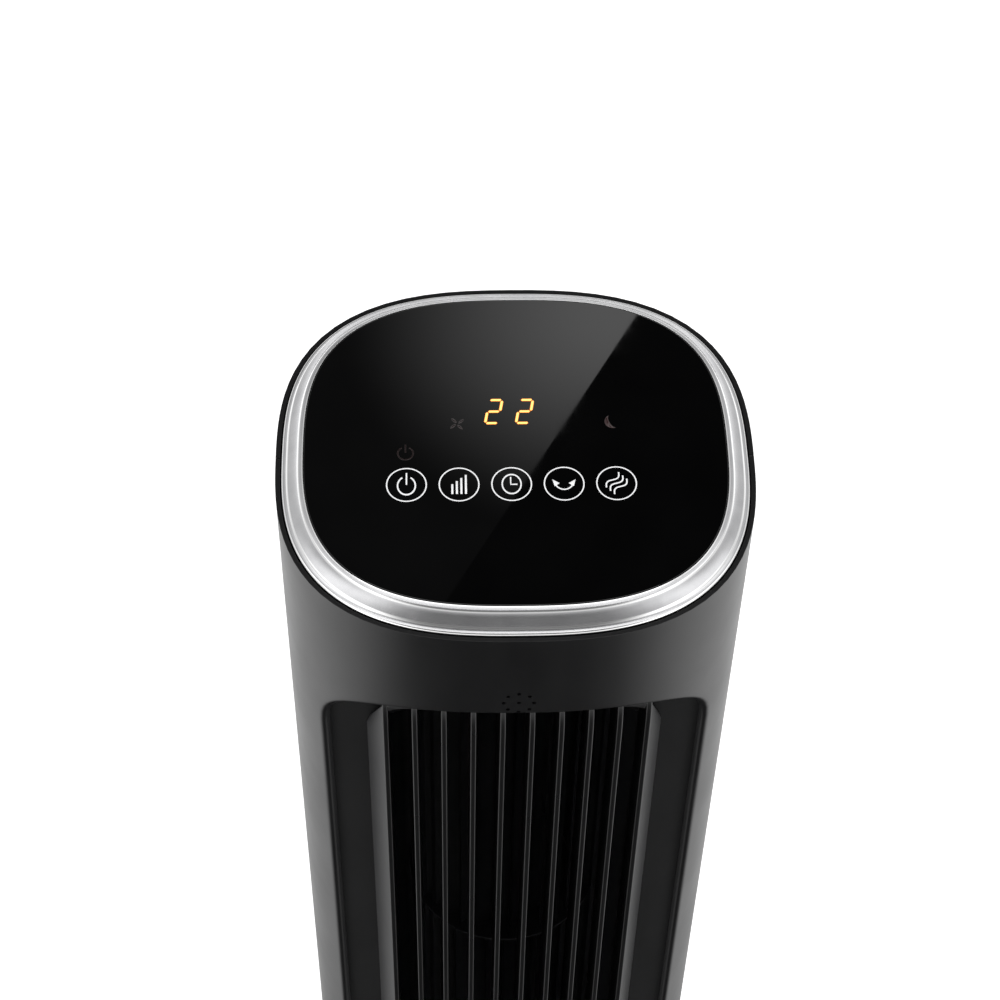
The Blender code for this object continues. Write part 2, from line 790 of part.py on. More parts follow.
def make_bezel():
    """Silver ring: stepped slope from the rim up to the panel, with a ledge that carries the glass."""
    start = casing_wall + trim_gap
    profile = [(0.0, -bezel_skirt), (0.0, 0.0), (0.34, 0.30), (0.40, 0.42), (0.82, 0.84), (0.93, 1.0),
               (1.0, 1.0)]
    loops = []
    for share, rise in profile:
        up = rise if share == 0.0 else rise * bezel_rise
        loops.append(tower_loop(start + share * bezel_run, above_rim(up)))
    ledge = bezel_rise - panel_thickness - seat_gap
    inner = start + bezel_run
    loops.append(tower_loop(inner, above_rim(ledge)))
    loops.append(tower_loop(inner + bezel_ledge, above_rim(ledge)))
    loops.append(tower_loop(inner + bezel_ledge, above_rim(ledge - 0.0014)))
    loops.append(tower_loop(start + 0.0018, above_rim(-0.0010)))
    loops.append(tower_loop(start + 0.0018, above_rim(-bezel_skirt)))
    bm = bmesh.new()
    skin(bm, loops, ring=True)
    smooth(node("bezel", bm, satin_silver), 50.0)


def panel_inset():
    return casing_wall + trim_gap + bezel_run + trim_gap


def make_glass_panel():
    bm = bmesh.new()
    low, high = bezel_rise - panel_thickness, bezel_rise
    edge = 0.0003
    skin(bm, [tower_loop(panel_inset(), above_rim(low)), tower_loop(panel_inset(), above_rim(high - edge)),
              tower_loop(panel_inset() + edge, above_rim(high))])
    node("glass_panel", bm, panel_black)


def tilted_box(name, x_span, y_span, up_span, look):
    corners = [(x_span[0], y_span[0]), (x_span[1], y_span[0]), (x_span[1], y_span[1]), (x_span[0], y_span[1])]
    bm = bmesh.new()
    skin(bm, [[(x, y, rim(y, up)) for x, y in corners] for up in up_span])
    return node(name, bm, look)


def make_control_tray():
    low, high = above_rim(-tray_drop), above_rim(-tray_drop + tray_thickness)
    bm = bmesh.new()
    skin(bm, [tower_loop(casing_wall + gap, low), tower_loop(casing_wall + gap, high)])
    obj = node("control_tray", bm, matte_black)
    holes = bmesh.new()
    add_rods(holes, boss_places, screw_radius + gap, rim_height - 0.04, rim_height + 0.02)
    add_box(holes, (-0.012, 0.040, rim_height - 0.04), (0.012, 0.050, rim_height + 0.02))
    boolean(obj, holes, "DIFFERENCE", "control_tray_holes")
    pillars = bmesh.new()
    for x, y in ((-0.048, -0.032), (0.048, -0.032), (-0.048, 0.032), (0.048, 0.032)):
        span = (rim(y, -tray_drop + 0.001), rim(y, -board_drop - board_thickness) - 0.0006)
        skin(pillars, [circle(0.003, z, (x, y), 12) for z in span])
    boolean(obj, pillars, "UNION", "control_tray_pillars")


def make_touch_board():
    bm = bmesh.new()
    spans = (-board_drop - board_thickness, -board_drop)
    skin(bm, [tower_loop(board_inset, above_rim(up)) for up in spans])
    node("touch_board", bm, board_green)


def make_board_parts():
    top = -board_drop + gap
    glass = bezel_rise - panel_thickness - gap
    tilted_box("led_module", (-0.014, 0.010), (0.006, 0.024), (top, glass), white_plastic)
    tilted_box("touch_strip", (-0.047, 0.043), (-0.024, -0.009), (top, glass), dark_grey)
    tilted_box("remote_receiver", (0.022, 0.029), (0.008, 0.013), (top, glass - 0.001), matte_black)


def bulkhead(name, low, bore, look, notch=None):
    bm = bmesh.new()
    skin(bm, [tower_loop(casing_wall + gap, level(z)) for z in (low, low + bulkhead_thickness)])
    obj = node(name, bm, look)
    holes = turned([(bore, low - 0.001), (bore, low + bulkhead_thickness + 0.001)], (0.0, wheel_y), points=24)
    add_rods(holes, [(0.066, 0.0)], 0.004, low - 0.001, low + bulkhead_thickness + 0.001)
    if notch:
        half, front, back = notch
        add_box(holes, (-half, front, low - 0.001), (half, back, low + bulkhead_thickness + 0.001))
    boolean(obj, holes, "DIFFERENCE", name + "_holes")
    return obj


def make_bulkheads():
    bulkhead("motor_bulkhead", lower_bulkhead, hub_radius + 0.001, dark_grey)
    sounder_back = sounder_length + casing_wall + 2 * gap - tower_depth / 2
    notch = (sounder_radius + 0.001, -tower_depth / 2, sounder_back + 0.001)
    bulkhead("bearing_bulkhead", upper_bulkhead, 0.009 + gap, dark_grey, notch)


def make_motor():
    """Fan motor under its bulkhead: a housing open at its shaft end, windings and the turning core."""
    high = lower_bulkhead - gap
    low = high - motor_length
    centre = (0.0, wheel_y)
    wall = 0.002
    mouth = hub_radius + 0.001
    housing = [(shaft_radius + running_gap, low), (motor_radius, low), (motor_radius, high), (mouth, high),
               (mouth, high - wall), (motor_radius - wall, high - wall), (motor_radius - wall, low + wall),
               (shaft_radius + running_gap, low + wall)]
    smooth(node("motor_housing", turned(housing, centre, bored=True), zinc_steel))
    stator = tube_profile(0.0185, motor_radius - wall - gap, low + 0.006, high - 0.006)
    smooth(node("motor_stator", turned(stator, centre, bored=True), winding_copper))
    core_low, core_high = low + 0.008, high - 0.008
    shaft = [(shaft_radius, low + 0.0005), (shaft_radius, core_low), (0.018, core_low), (0.018, core_high),
             (shaft_radius, core_high), (shaft_radius, wheel_bottom + 0.020)]
    smooth(node("motor_rotor", turned(shaft, centre, points=20), zinc_steel, wheel_axis))


def blade_outline(turn):
    """Section of one forward-curved blade between the wheel's inner and outer circles."""
    thickness = 0.0009
    middle = []
    for share in (0.0, 0.5, 1.0):
        radius = wheel_radius - 0.0006 - wheel_blade_depth * share
        lean = math.radians(9.0) * (1 - share) ** 2
        middle.append((radius, turn + lean))
    outer = [(r * math.cos(a), r * math.sin(a)) for r, a in middle]
    shift = (-math.sin(turn) * thickness, math.cos(turn) * thickness)
    inner = [(x + shift[0], y + shift[1]) for x, y in outer]
    return outer + inner[::-1]


def make_wheel():
    centre = (0.0, wheel_y)
    discs = bmesh.new()
    bore = shaft_radius + 0.0002
    inner = wheel_radius - wheel_blade_depth - 0.003
    span = wheel_top - wheel_bottom - disc_thickness
    for i in range(wheel_discs):
        low = wheel_bottom + span * i / (wheel_discs - 1)
        high = low + disc_thickness
        if i == 0:
            profile = [(bore, low - 0.008), (hub_radius, low - 0.008), (hub_radius, low), (wheel_radius, low),
                       (wheel_radius, high), (hub_radius, high), (hub_radius, high + 0.016),
                       (bore, high + 0.016)]
        elif i == wheel_discs - 1:
            profile = [(bore, low - 0.010), (hub_radius, low - 0.010), (hub_radius, low), (wheel_radius, low),
                       (wheel_radius, high), (bore, high)]
        else:
            profile = tube_profile(inner, wheel_radius, low, high)
        skin(discs, [circle(r, z, centre, 32) for r, z in profile], ring=True)
    obj = node("fan_wheel", discs, dark_grey, wheel_axis)
    blades = bmesh.new()
    for i in range(wheel_blades):
        outline = blade_outline(2 * math.pi * i / wheel_blades)
        heights = (wheel_bottom + disc_thickness / 2, wheel_top - disc_thickness / 2)
        skin(blades, [[(x, y + wheel_y, z) for x, y in outline] for z in heights])
    boolean(obj, blades, "UNION", "fan_wheel_blades")


def make_top_spindle():
    low = wheel_top - disc_thickness - 0.008
    profile = [(shaft_radius, low), (shaft_radius, upper_bulkhead + 0.010)]
    smooth(node("top_spindle", turned(profile, (0.0, wheel_y), points=16), zinc_steel, wheel_axis))


def make_bearing():
    low, high = upper_bulkhead - 0.003, upper_bulkhead + 0.009
    centre = (0.0, wheel_y)
    bush = shaft_radius + 0.0025
    sleeve = tube_profile(shaft_radius + running_gap, bush, low, high)
    smooth(node("bearing_bush", turned(sleeve, centre, points=20, bored=True), bearing_bronze))
    rubber = [(bush + trim_gap, low), (0.009, low), (0.009, upper_bulkhead + bulkhead_thickness + gap),
              (0.0115, upper_bulkhead + bulkhead_thickness + gap), (0.0115, high), (bush + trim_gap, high)]
    smooth(node("bearing_rubber", turned(rubber, centre, points=20, bored=True), rubber_black))


def duct_wall(name, path, thickness, look):
    """An upright sheet that follows a path in plan."""
    offset = []
    for i, (x, y) in enumerate(path):
        before = path[max(i - 1, 0)]
        after = path[min(i + 1, len(path) - 1)]
        dx, dy = after[0] - before[0], after[1] - before[1]
        length = math.hypot(dx, dy)
        offset.append((x - thickness * dy / length, y + thickness * dx / length))
    outline = path + offset[::-1]
    low = lower_bulkhead + bulkhead_thickness + gap
    high = upper_bulkhead - gap
    bm = bmesh.new()
    skin(bm, [[(x, y, z) for x, y in outline] for z in (low, high)])
    smooth(node(name, bm, look))


def make_duct():
    steps = 12
    scroll = []
    for i in range(steps + 1):
        share = i / steps
        turn = math.radians(84 + (212 - 84) * share)
        radius = wheel_radius + 0.004 + 0.014 * share
        scroll.append((radius * math.cos(turn), wheel_y + radius * math.sin(turn)))
    throat = -channel_floor + channel_thickness + 0.001
    scroll.append((-frame_foot_half + channel_lap - 0.0005, throat))
    duct_wall("duct_scroll", scroll, -0.002, dark_grey)
    lip = wheel_radius + 0.0035
    tongue = [(frame_foot_half - channel_lap + 0.0005, throat)]
    for degrees, spread in ((-42, 0.004), (-30, 0.0), (-18, 0.003), (-10, 0.012)):
        turn = math.radians(degrees)
        radius = lip + spread
        tongue.append((radius * math.cos(turn), wheel_y + radius * math.sin(turn)))
    duct_wall("duct_tongue", tongue, -0.002, dark_grey)


def make_power_parts():
    board = bmesh.new()
    face = tower_depth / 2 - power_board_space
    high = lower_bulkhead - 0.010
    add_box(board, (-0.034, face, high - 0.062), (0.034, face + board_thickness, high))
    node("power_board", board, board_green)
    profile = [(0.009, 0.0), (0.009, 0.030)]
    low = turntable_high + gap
    centre = (-0.052, -0.030)
    shape = turned([(r, low + z) for r, z in profile], centre, points=20)
    smooth(node("run_capacitor", shape, white_plastic))


def make_all():
    make_base_plate()
    make_feet()
    make_base_cover()
    make_cord_gland()
    make_pivot_post()
    make_post_screws()
    make_sector_gear()
    make_swivel_nut()
    make_swing_pinion()
    make_swing_shaft()
    make_swing_motor()
    make_turntable()
    make_front_casing()
    make_rear_casing()
    make_rear_head()
    make_casing_screws()
    make_channel_inlay()
    make_outlet_grille()
    make_sounder()
    make_intake_grille()
    make_grip_cup()
    make_bezel()
    make_glass_panel()
    make_control_tray()
    make_tray_screws()
    make_touch_board()
    make_board_parts()
    make_bulkheads()
    make_motor()
    make_wheel()
    make_top_spindle()
    make_bearing()
    make_duct()
    make_power_parts()


make_all()
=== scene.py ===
import json
import math

import bmesh
import bpy
import numpy as np
from mathutils import Matrix, Vector


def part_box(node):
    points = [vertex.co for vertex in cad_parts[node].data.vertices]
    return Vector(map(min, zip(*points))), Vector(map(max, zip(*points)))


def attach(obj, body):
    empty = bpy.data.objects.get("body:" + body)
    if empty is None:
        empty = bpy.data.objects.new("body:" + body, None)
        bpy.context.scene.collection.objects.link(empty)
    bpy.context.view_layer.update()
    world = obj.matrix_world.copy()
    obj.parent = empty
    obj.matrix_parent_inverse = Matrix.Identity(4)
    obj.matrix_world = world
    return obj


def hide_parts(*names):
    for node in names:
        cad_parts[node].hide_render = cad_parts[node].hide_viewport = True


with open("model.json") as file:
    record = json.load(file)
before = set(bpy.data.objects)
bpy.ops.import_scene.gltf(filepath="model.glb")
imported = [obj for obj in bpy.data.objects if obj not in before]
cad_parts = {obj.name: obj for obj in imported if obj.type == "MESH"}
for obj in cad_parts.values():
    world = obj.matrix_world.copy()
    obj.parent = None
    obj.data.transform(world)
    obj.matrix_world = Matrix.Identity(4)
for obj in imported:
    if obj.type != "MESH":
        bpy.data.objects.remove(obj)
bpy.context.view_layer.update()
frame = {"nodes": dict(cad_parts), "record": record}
scene = bpy.context.scene
record = frame["record"]
print("frame loaded,", len(frame["nodes"]), "nodes")

# the tower's oval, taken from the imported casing
casingLow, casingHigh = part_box("front_casing")
headLow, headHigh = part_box("rear_head")
rearLow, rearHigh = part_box("rear_casing")
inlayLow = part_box("channel_inlay")[0]

tower = {
    "halfWidth": casingHigh.x,
    "halfDepth": -casingLow.y,
    "squareness": 2.67,
    "foot": casingLow.z,
    "rim": casingHigh.z,
    "slope": (headHigh.z - casingHigh.z) / headHigh.y,  # the head leans towards the user
    "wall": 0.0020,
    "seamGap": 0.00015,
}


# finishes

def newFinish(name):
    finish = bpy.data.materials.new(name)
    finish.use_nodes = True
    tree = finish.node_tree
    return finish, tree, tree.nodes["Principled BSDF"]


def addNode(tree, kind, **values):
    made = tree.nodes.new(kind)
    for key, value in values.items():
        if key in made.inputs:
            made.inputs[key].default_value = value
        else:
            setattr(made, key, value)
    return made


def dress(tree, shader, colour, rough, layers=()):
    # colour, roughness and then bumps: layers of (height source, depth in metres), each added on the last
    tree.links.new(colour, shader.inputs["Base Color"])
    tree.links.new(rough, shader.inputs["Roughness"])
    last = None
    for source, depth in layers:
        bump = addNode(tree, "ShaderNodeBump", Strength=1.0, Distance=depth)
        tree.links.new(source, bump.inputs["Height"])
        if last:
            tree.links.new(last, bump.inputs["Normal"])
        last = bump.outputs["Normal"]
    if last:
        tree.links.new(last, shader.inputs["Normal"])


def noiseOn(tree, size, detail=3.0, rough=0.5, stretch=(1, 1, 1)):
    # noise with features of about the given size in metres
    coords = addNode(tree, "ShaderNodeTexCoord")
    place = addNode(tree, "ShaderNodeMapping", Scale=stretch)
    noise = addNode(tree, "ShaderNodeTexNoise", Scale=1.0 / size, Detail=detail, Roughness=rough)
    tree.links.new(coords.outputs["Object"], place.inputs["Vector"])
    tree.links.new(place.outputs["Vector"], noise.inputs["Vector"])
    return noise.outputs["Fac"]


def setRange(span, fromLow, fromHigh, toLow, toHigh):
    labels = ("From Min", "From Max", "To Min", "To Max")
    for label, value in zip(labels, (fromLow, fromHigh, toLow, toHigh)):
        span.inputs[label].default_value = value


def spread(tree, source, low, high, fromLow=0.3, fromHigh=0.7):
    span = addNode(tree, "ShaderNodeMapRange")
    setRange(span, fromLow, fromHigh, low, high)
    tree.links.new(source, span.inputs["Value"])
    return span.outputs["Result"]


def tint(tree, source, dark, light, fromLow=0.3, fromHigh=0.7):
    ramp = addNode(tree, "ShaderNodeValToRGB")
    ramp.color_ramp.elements[0].position = fromLow
    ramp.color_ramp.elements[1].position = fromHigh
    ramp.color_ramp.elements[0].color = (*dark, 1)
    ramp.color_ramp.elements[1].color = (*light, 1)
    tree.links.new(source, ramp.inputs["Fac"])
    return ramp.outputs["Color"]


def mouldedPlastic(name, dark, light, roughLow, roughHigh, grain=0.0004, depth=0.000006, specular=0.5):
    # spark-textured moulding: fine grain, slow flow marks and rubbed patches
    finish, tree, shader = newFinish(name)
    patches = noiseOn(tree, 0.035, 4.0, 0.6)
    streaks = noiseOn(tree, 0.012, 3.0, 0.55, (1, 1, 0.25))
    fine = noiseOn(tree, grain, 2.0, 0.6)
    wave = noiseOn(tree, 0.020, 2.0)
    dress(tree, shader, tint(tree, streaks, dark, light), spread(tree, patches, roughLow, roughHigh),
          [(wave, depth * 4), (fine, depth)])
    shader.inputs["Specular IOR Level"].default_value = specular
    return finish


def platedMetal(name, dark, light, roughLow, roughHigh, brush=(1, 1, 1), grain=0.0003, depth=0.000004):
    finish, tree, shader = newFinish(name)
    cloud = noiseOn(tree, 0.010, 4.0, 0.6)
    fine = noiseOn(tree, grain, 3.0, 0.6, brush)
    dress(tree, shader, tint(tree, cloud, dark, light), spread(tree, fine, roughLow, roughHigh),
          [(cloud, depth * 3), (fine, depth)])
    shader.inputs["Metallic"].default_value = 1.0
    return finish


def platedRingWithPaintedHighlights():
    # satin bands between polished ridges; the ridges' colour is painted brighter as a painted highlight,
    # and their lower roughness is real polish
    finish = platedMetal("bezelSilver", (0.52, 0.52, 0.53), (0.62, 0.62, 0.63), 0.20, 0.27)
    tree, shader = finish.node_tree, finish.node_tree.nodes["Principled BSDF"]
    paintedRidgeHighlight = addNode(tree, "ShaderNodeAttribute", attribute_name="paintedRidgeHighlight")
    # the ridge colour of 0.97 is a painted highlight, the roughness of 0.13 is polish
    for socket, polishedAndPainted in (("Base Color", (0.97, 0.97, 0.97, 1)), ("Roughness", (0.13, 0.13, 0.13, 1))):
        satin = shader.inputs[socket].links[0].from_socket
        mixed = addNode(tree, "ShaderNodeMix", data_type="RGBA")
        tree.links.new(paintedRidgeHighlight.outputs["Fac"], mixed.inputs[0])
        tree.links.new(satin, mixed.inputs[6])
        mixed.inputs[7].default_value = polishedAndPainted
        tree.links.new(mixed.outputs[2], shader.inputs[socket])
    return finish


def glossPanelFinish():
    finish, tree, shader = newFinish("panelGloss")
    smears = noiseOn(tree, 0.018, 5.0, 0.65, (1, 0.45, 1))
    depthTone = noiseOn(tree, 0.030, 2.0)
    wave = noiseOn(tree, 0.050, 1.0)
    dress(tree, shader, tint(tree, depthTone, (0.0008, 0.0008, 0.0009), (0.0016, 0.0016, 0.0017)),
          spread(tree, smears, 0.012, 0.040, 0.45, 0.75), [(wave, 0.000004)])
    shader.inputs["IOR"].default_value = 1.5
    return finish


def inkFinish(name, dark, light, glow, paintedGlowStrength):
    # screen print under a clear face: slightly uneven cover, plus a painted glow: the prints emit light
    # though nothing lights them from behind
    finish, tree, shader = newFinish(name)
    cover = noiseOn(tree, 0.0006, 3.0, 0.6)
    dress(tree, shader, tint(tree, cover, dark, light), spread(tree, cover, 0.10, 0.22),
          [(cover, 0.000002)])
    shader.inputs["Emission Color"].default_value = (*glow, 1)
    shader.inputs["Emission Strength"].default_value = paintedGlowStrength
    return finish


def amberFinish(name, core, edge, strength):
    # lit segment: pale amber in the middle of its width, orange towards its edge
    finish, tree, shader = newFinish(name)
    across = addNode(tree, "ShaderNodeAttribute", attribute_name="middle")
    mottle = noiseOn(tree, 0.0012, 2.0)
    glow = tint(tree, across.outputs["Fac"], edge, core, 0.15, 0.75)
    dress(tree, shader, glow, spread(tree, mottle, 0.12, 0.22))
    tree.links.new(glow, shader.inputs["Emission Color"])
    shader.inputs["Emission Strength"].default_value = strength
    return finish


def rubberFinish():
    finish, tree, shader = newFinish("softRubber")
    dust = noiseOn(tree, 0.004, 4.0, 0.7)
    fine = noiseOn(tree, 0.0003, 2.0)
    dress(tree, shader, tint(tree, dust, (0.010, 0.010, 0.010), (0.022, 0.021, 0.020)),
          spread(tree, dust, 0.72, 0.92), [(fine, 0.00002)])
    return finish


def boardFinish():
    finish, tree, shader = newFinish("boardLacquer")
    coords = addNode(tree, "ShaderNodeTexCoord")
    tracks = addNode(tree, "ShaderNodeTexVoronoi", feature="DISTANCE_TO_EDGE", distance="CHEBYCHEV",
                     Scale=190.0)
    tree.links.new(coords.outputs["Object"], tracks.inputs["Vector"])
    lines = tracks.outputs["Distance"]
    fine = noiseOn(tree, 0.002, 3.0)
    dress(tree, shader, tint(tree, lines, (0.045, 0.20, 0.06), (0.012, 0.085, 0.030), 0.05, 0.10),
          spread(tree, fine, 0.25, 0.45), [(lines, 0.00004)])
    return finish


def windingFinish():
    finish, tree, shader = newFinish("copperWinding")
    coords = addNode(tree, "ShaderNodeTexCoord")
    wound = addNode(tree, "ShaderNodeTexWave", bands_direction="Z", Scale=420.0, Distortion=1.2)
    tree.links.new(coords.outputs["Object"], wound.inputs["Vector"])
    turns = wound.outputs["Fac"]
    dress(tree, shader, tint(tree, turns, (0.20, 0.07, 0.02), (0.62, 0.28, 0.11), 0.1, 0.8),
          spread(tree, turns, 0.45, 0.25, 0.0, 1.0), [(turns, 0.0002)])
    shader.inputs["Metallic"].default_value = 0.8
    return finish


def grey(level, blue=0.0):
    return level, level, level + blue


finishes = {
    "casing_satin": mouldedPlastic("casingSatin", grey(0.0060, 0.0004), grey(0.0078, 0.0004), 0.30, 0.36),
    "louvre_satin": mouldedPlastic("louvreSatin", grey(0.0050, 0.0003), grey(0.0066, 0.0003), 0.27, 0.32),
    # lighter grey than the slats and casing: painted sheen standing in for the side lights' reflection on
    # the frame's strips
    "louvre_frame": mouldedPlastic("louvreFramePaintedSheen", grey(0.040, 0.001), grey(0.046, 0.001), 0.44, 0.50),
    "matte_trim": mouldedPlastic("matteTrim", grey(0.0095, 0.0003), grey(0.0120, 0.0004), 0.62, 0.72,
                                 grain=0.0005, depth=0.00002, specular=0.25),
    "frame_plastic": mouldedPlastic("framePlastic", grey(0.022, 0.002), grey(0.034, 0.003), 0.42, 0.58,
                                    grain=0.0005, depth=0.00001),
    "base_steel": mouldedPlastic("paintedSteel", grey(0.020, 0.002), grey(0.030, 0.002), 0.40, 0.55,
                                 grain=0.0012, depth=0.00003),
    "bezel_silver": platedRingWithPaintedHighlights(),
    "zinc_steel": platedMetal("zincSteel", (0.42, 0.43, 0.45), (0.62, 0.63, 0.64), 0.28, 0.45,
                              brush=(1, 1, 0.2), grain=0.0006, depth=0.00001),
    "bearing_metal": platedMetal("sinteredBronze", (0.40, 0.26, 0.11), (0.58, 0.40, 0.18), 0.38, 0.55,
                                 grain=0.0004, depth=0.00002),
    "white_plastic": mouldedPlastic("naturalWhite", (0.62, 0.62, 0.59), (0.72, 0.72, 0.69), 0.38, 0.50),
    "panel_gloss": glossPanelFinish(),
    "soft_rubber": rubberFinish(),
    "board_plastic": boardFinish(),
    "winding_metal": windingFinish(),
}
# white prints glow as painted glow; the dim icons and the moon glow faintly red as painted glow though
# unlit
printWhite = inkFinish("printWhite", (0.74, 0.75, 0.76), (0.86, 0.87, 0.88), (1.0, 1.0, 1.0), 0.35)
printDim = inkFinish("printDim", (0.010, 0.006, 0.006), (0.014, 0.008, 0.008), (0.030, 0.012, 0.012), 0.10)
printMoon = inkFinish("printMoon", (0.018, 0.007, 0.007), (0.024, 0.010, 0.010), (0.10, 0.030, 0.030), 0.10)
amberGlow = amberFinish("amberGlow", (1.0, 0.62, 0.17), (0.75, 0.20, 0.02), 1.15)

for entry in record["subparts"]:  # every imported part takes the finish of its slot
    part = frame["nodes"][entry["node"]]
    part.data.materials.clear()
    part.data.materials.append(finishes[entry["material_slot"]])
print("finishes made:", len(bpy.data.materials))


# shapes shared by the tower's pieces

def signedPower(value, power):
    return math.copysign(abs(value) ** power, value)


def ovalPoint(turn, inset=0.0):
    # a point of the tower's oval, moved in square to its surface
    c, s = math.cos(turn), math.sin(turn)
    bend = 2 / tower["squareness"]
    x = tower["halfWidth"] * signedPower(c, bend)
    y = tower["halfDepth"] * signedPower(s, bend)
    nx = signedPower(c, 2 - bend) / tower["halfWidth"]
    ny = signedPower(s, 2 - bend) / tower["halfDepth"]
    length = math.hypot(nx, ny)
    return x - inset * nx / length, y - inset * ny / length


def rimHeight(y, up=0.0):
    return tower["rim"] + y * tower["slope"] + up


fineTurns = np.linspace(0.0, 2 * math.pi, 7201)
finePoints = np.array([ovalPoint(t) for t in fineTurns])
fineRuns = np.concatenate([[0.0], np.cumsum(np.hypot(*np.diff(finePoints, axis=0).T))])
girth = float(fineRuns[-1])
frontQuarter = slice(5400, 7201)  # from the middle of the front round to the seam
frontXs = finePoints[frontQuarter, 0]
frontYs = finePoints[frontQuarter, 1]
frontRuns = fineRuns[frontQuarter] - fineRuns[5400]
seamRun = float(frontRuns[-1])


def turnAt(side, run):
    # side -1 is the front and 1 the rear; run is measured from the middle, to the right seen from the front
    place = 0.75 * girth + run if side < 0 else 0.25 * girth - run
    return float(np.interp(place % girth, fineRuns, fineTurns))


def runAt(x):
    return math.copysign(float(np.interp(abs(x), frontXs, frontRuns)), x)


def wallDepth(x, inset=0.0):
    # how far the front or rear wall stands from the middle at x
    return -float(np.interp(abs(x), frontXs, frontYs)) - inset


def evenTurns(count):
    return [float(np.interp(girth * i / count, fineRuns, fineTurns)) for i in range(count)]


def growRings(bm, rings, close=False, cap=False, marks=None):
    # starts a circle and extrudes its edges from ring to ring; each ring is a list of places,
    # and a mark for each ring is kept as a vertex attribute, which on the bezel marks the polished ridges
    # that get a painted highlight
    count = len(rings[0])
    lap = bm.verts.layers.int.new("lap")
    paintedRidgeHighlight = bm.verts.layers.float.new("paintedRidgeHighlight") if marks else None
    made = bmesh.ops.create_circle(bm, segments=count, radius=1.0)["verts"]
    for number, vert in enumerate(made):
        vert[lap] = number
        vert.co = rings[0][number]
        if marks:
            vert[paintedRidgeHighlight] = marks[0]
    edges = [edge for edge in bm.edges if edge.verts[0] in made and edge.verts[1] in made]
    if cap:
        bmesh.ops.edgeloop_fill(bm, edges=edges)
    for number, ring in enumerate(rings[1:] + (rings[:1] if close else []), 1):
        grown = bmesh.ops.extrude_edge_only(bm, edges=edges)["geom"]
        for vert in grown:
            if isinstance(vert, bmesh.types.BMVert):
                vert.co = ring[vert[lap]]
                if marks:
                    vert[paintedRidgeHighlight] = marks[number % len(rings)]
        edges = [edge for edge in grown if isinstance(edge, bmesh.types.BMEdge)]
    if close:
        bmesh.ops.remove_doubles(bm, verts=bm.verts, dist=1e-7)
    if cap:
        bmesh.ops.edgeloop_fill(bm, edges=edges)
    bm.verts.layers.int.remove(bm.verts.layers.int["lap"])


def meshFrom(name, bm):
    mesh = bpy.data.meshes.new(name)
    bm.to_mesh(mesh)
    bm.free()
    return mesh


def addObject(name, data):
    made = bpy.data.objects.new(name, data)
    scene.collection.objects.link(made)
    return made


def finishPiece(name, bm, finish, body="tower", stands=(), slotName=None, closed=True):
    if closed:
        bmesh.ops.recalc_face_normals(bm, faces=bm.faces)
    mesh = meshFrom(name, bm)
    mesh.materials.append(finish)
    mesh.shade_smooth()
    piece = addObject(name, mesh)
    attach(piece, body)
    if stands:
        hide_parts(*stands)
        if slotName is None:
            slotName = next(e["material_slot"] for e in record["subparts"] if e["node"] == stands[0])
    return piece


def block(bm, centre, size):
    # a box of the given size about its centre
    place = Matrix.Translation(centre) @ Matrix.Diagonal((*size, 1))
    return bmesh.ops.create_cube(bm, size=1.0, matrix=place)["verts"]


def softenEdges(bm, edges, width, segments):
    bmesh.ops.bevel(bm, geom=edges, offset=width, offset_type="OFFSET", affect="EDGES", segments=segments,
                    profile=0.5, material=-1)


def spinOutline(bm, profile, steps):
    # turns a closed outline of (radius, height) all the way round the Z axis
    corners = [bm.verts.new((radius, 0.0, height)) for radius, height in profile]
    edges = [bm.edges.new(pair) for pair in zip(corners, corners[1:] + corners[:1])]
    bmesh.ops.spin(bm, geom=corners + edges, cent=(0, 0, 0), axis=(0, 0, 1), angle=2 * math.pi,
                   steps=steps, use_merge=True)


def roundEdges(piece, width, segments=2, angle=35.0):
    bevel = piece.modifiers.new("softEdges", "BEVEL")
    bevel.width = width
    bevel.segments = segments
    bevel.limit_method = "ANGLE"
    bevel.angle_limit = math.radians(angle)
    bevel.harden_normals = True
    return piece


def settle(piece):
    # makes the modifiers' result the piece's own mesh
    bpy.context.view_layer.update()
    solid = piece.evaluated_get(bpy.context.evaluated_depsgraph_get())
    mesh = bpy.data.meshes.new_from_object(solid)
    piece.modifiers.clear()
    piece.data = mesh


def cut(piece, bm):
    bmesh.ops.recalc_face_normals(bm, faces=bm.faces)
    cutter = addObject("cutter", meshFrom("cutter", bm))
    boolean = piece.modifiers.new("cut", "BOOLEAN")
    boolean.operation = "DIFFERENCE"
    boolean.solver = "EXACT"
    boolean.object = cutter
    settle(piece)
    bpy.data.objects.remove(cutter)


def spaced(points, count):
    # the path again as count points, closer together near its ends; its last end is left out
    path = np.array(points, float)
    runs = np.concatenate([[0.0], np.cumsum(np.hypot(*np.diff(path, axis=0).T))])
    shares = 0.5 - 0.5 * np.cos(math.pi * np.arange(count) / count)
    return [tuple(float(np.interp(s * runs[-1], runs, path[:, k])) for k in (0, 1)) for s in shares]


def archSides(half, top, bottom, shoulder):
    # an opening with broad arches at its ends, as four sides: right, top, left, bottom
    def arc(start, stop, end):
        turns = np.radians(np.linspace(start, stop, 181))
        middle = top - shoulder if end > 0 else bottom + shoulder
        return [(half * signedPower(math.cos(t), 0.5), middle + shoulder * math.sin(t)) for t in turns]
    split = 40  # degrees up each arch where a side ends
    return [arc(-split, 0, -1) + arc(0, split, 1), arc(split, 180 - split, 1),
            arc(180 - split, 180, 1) + arc(180, 180 + split, -1), arc(180 + split, 360 - split, -1)]


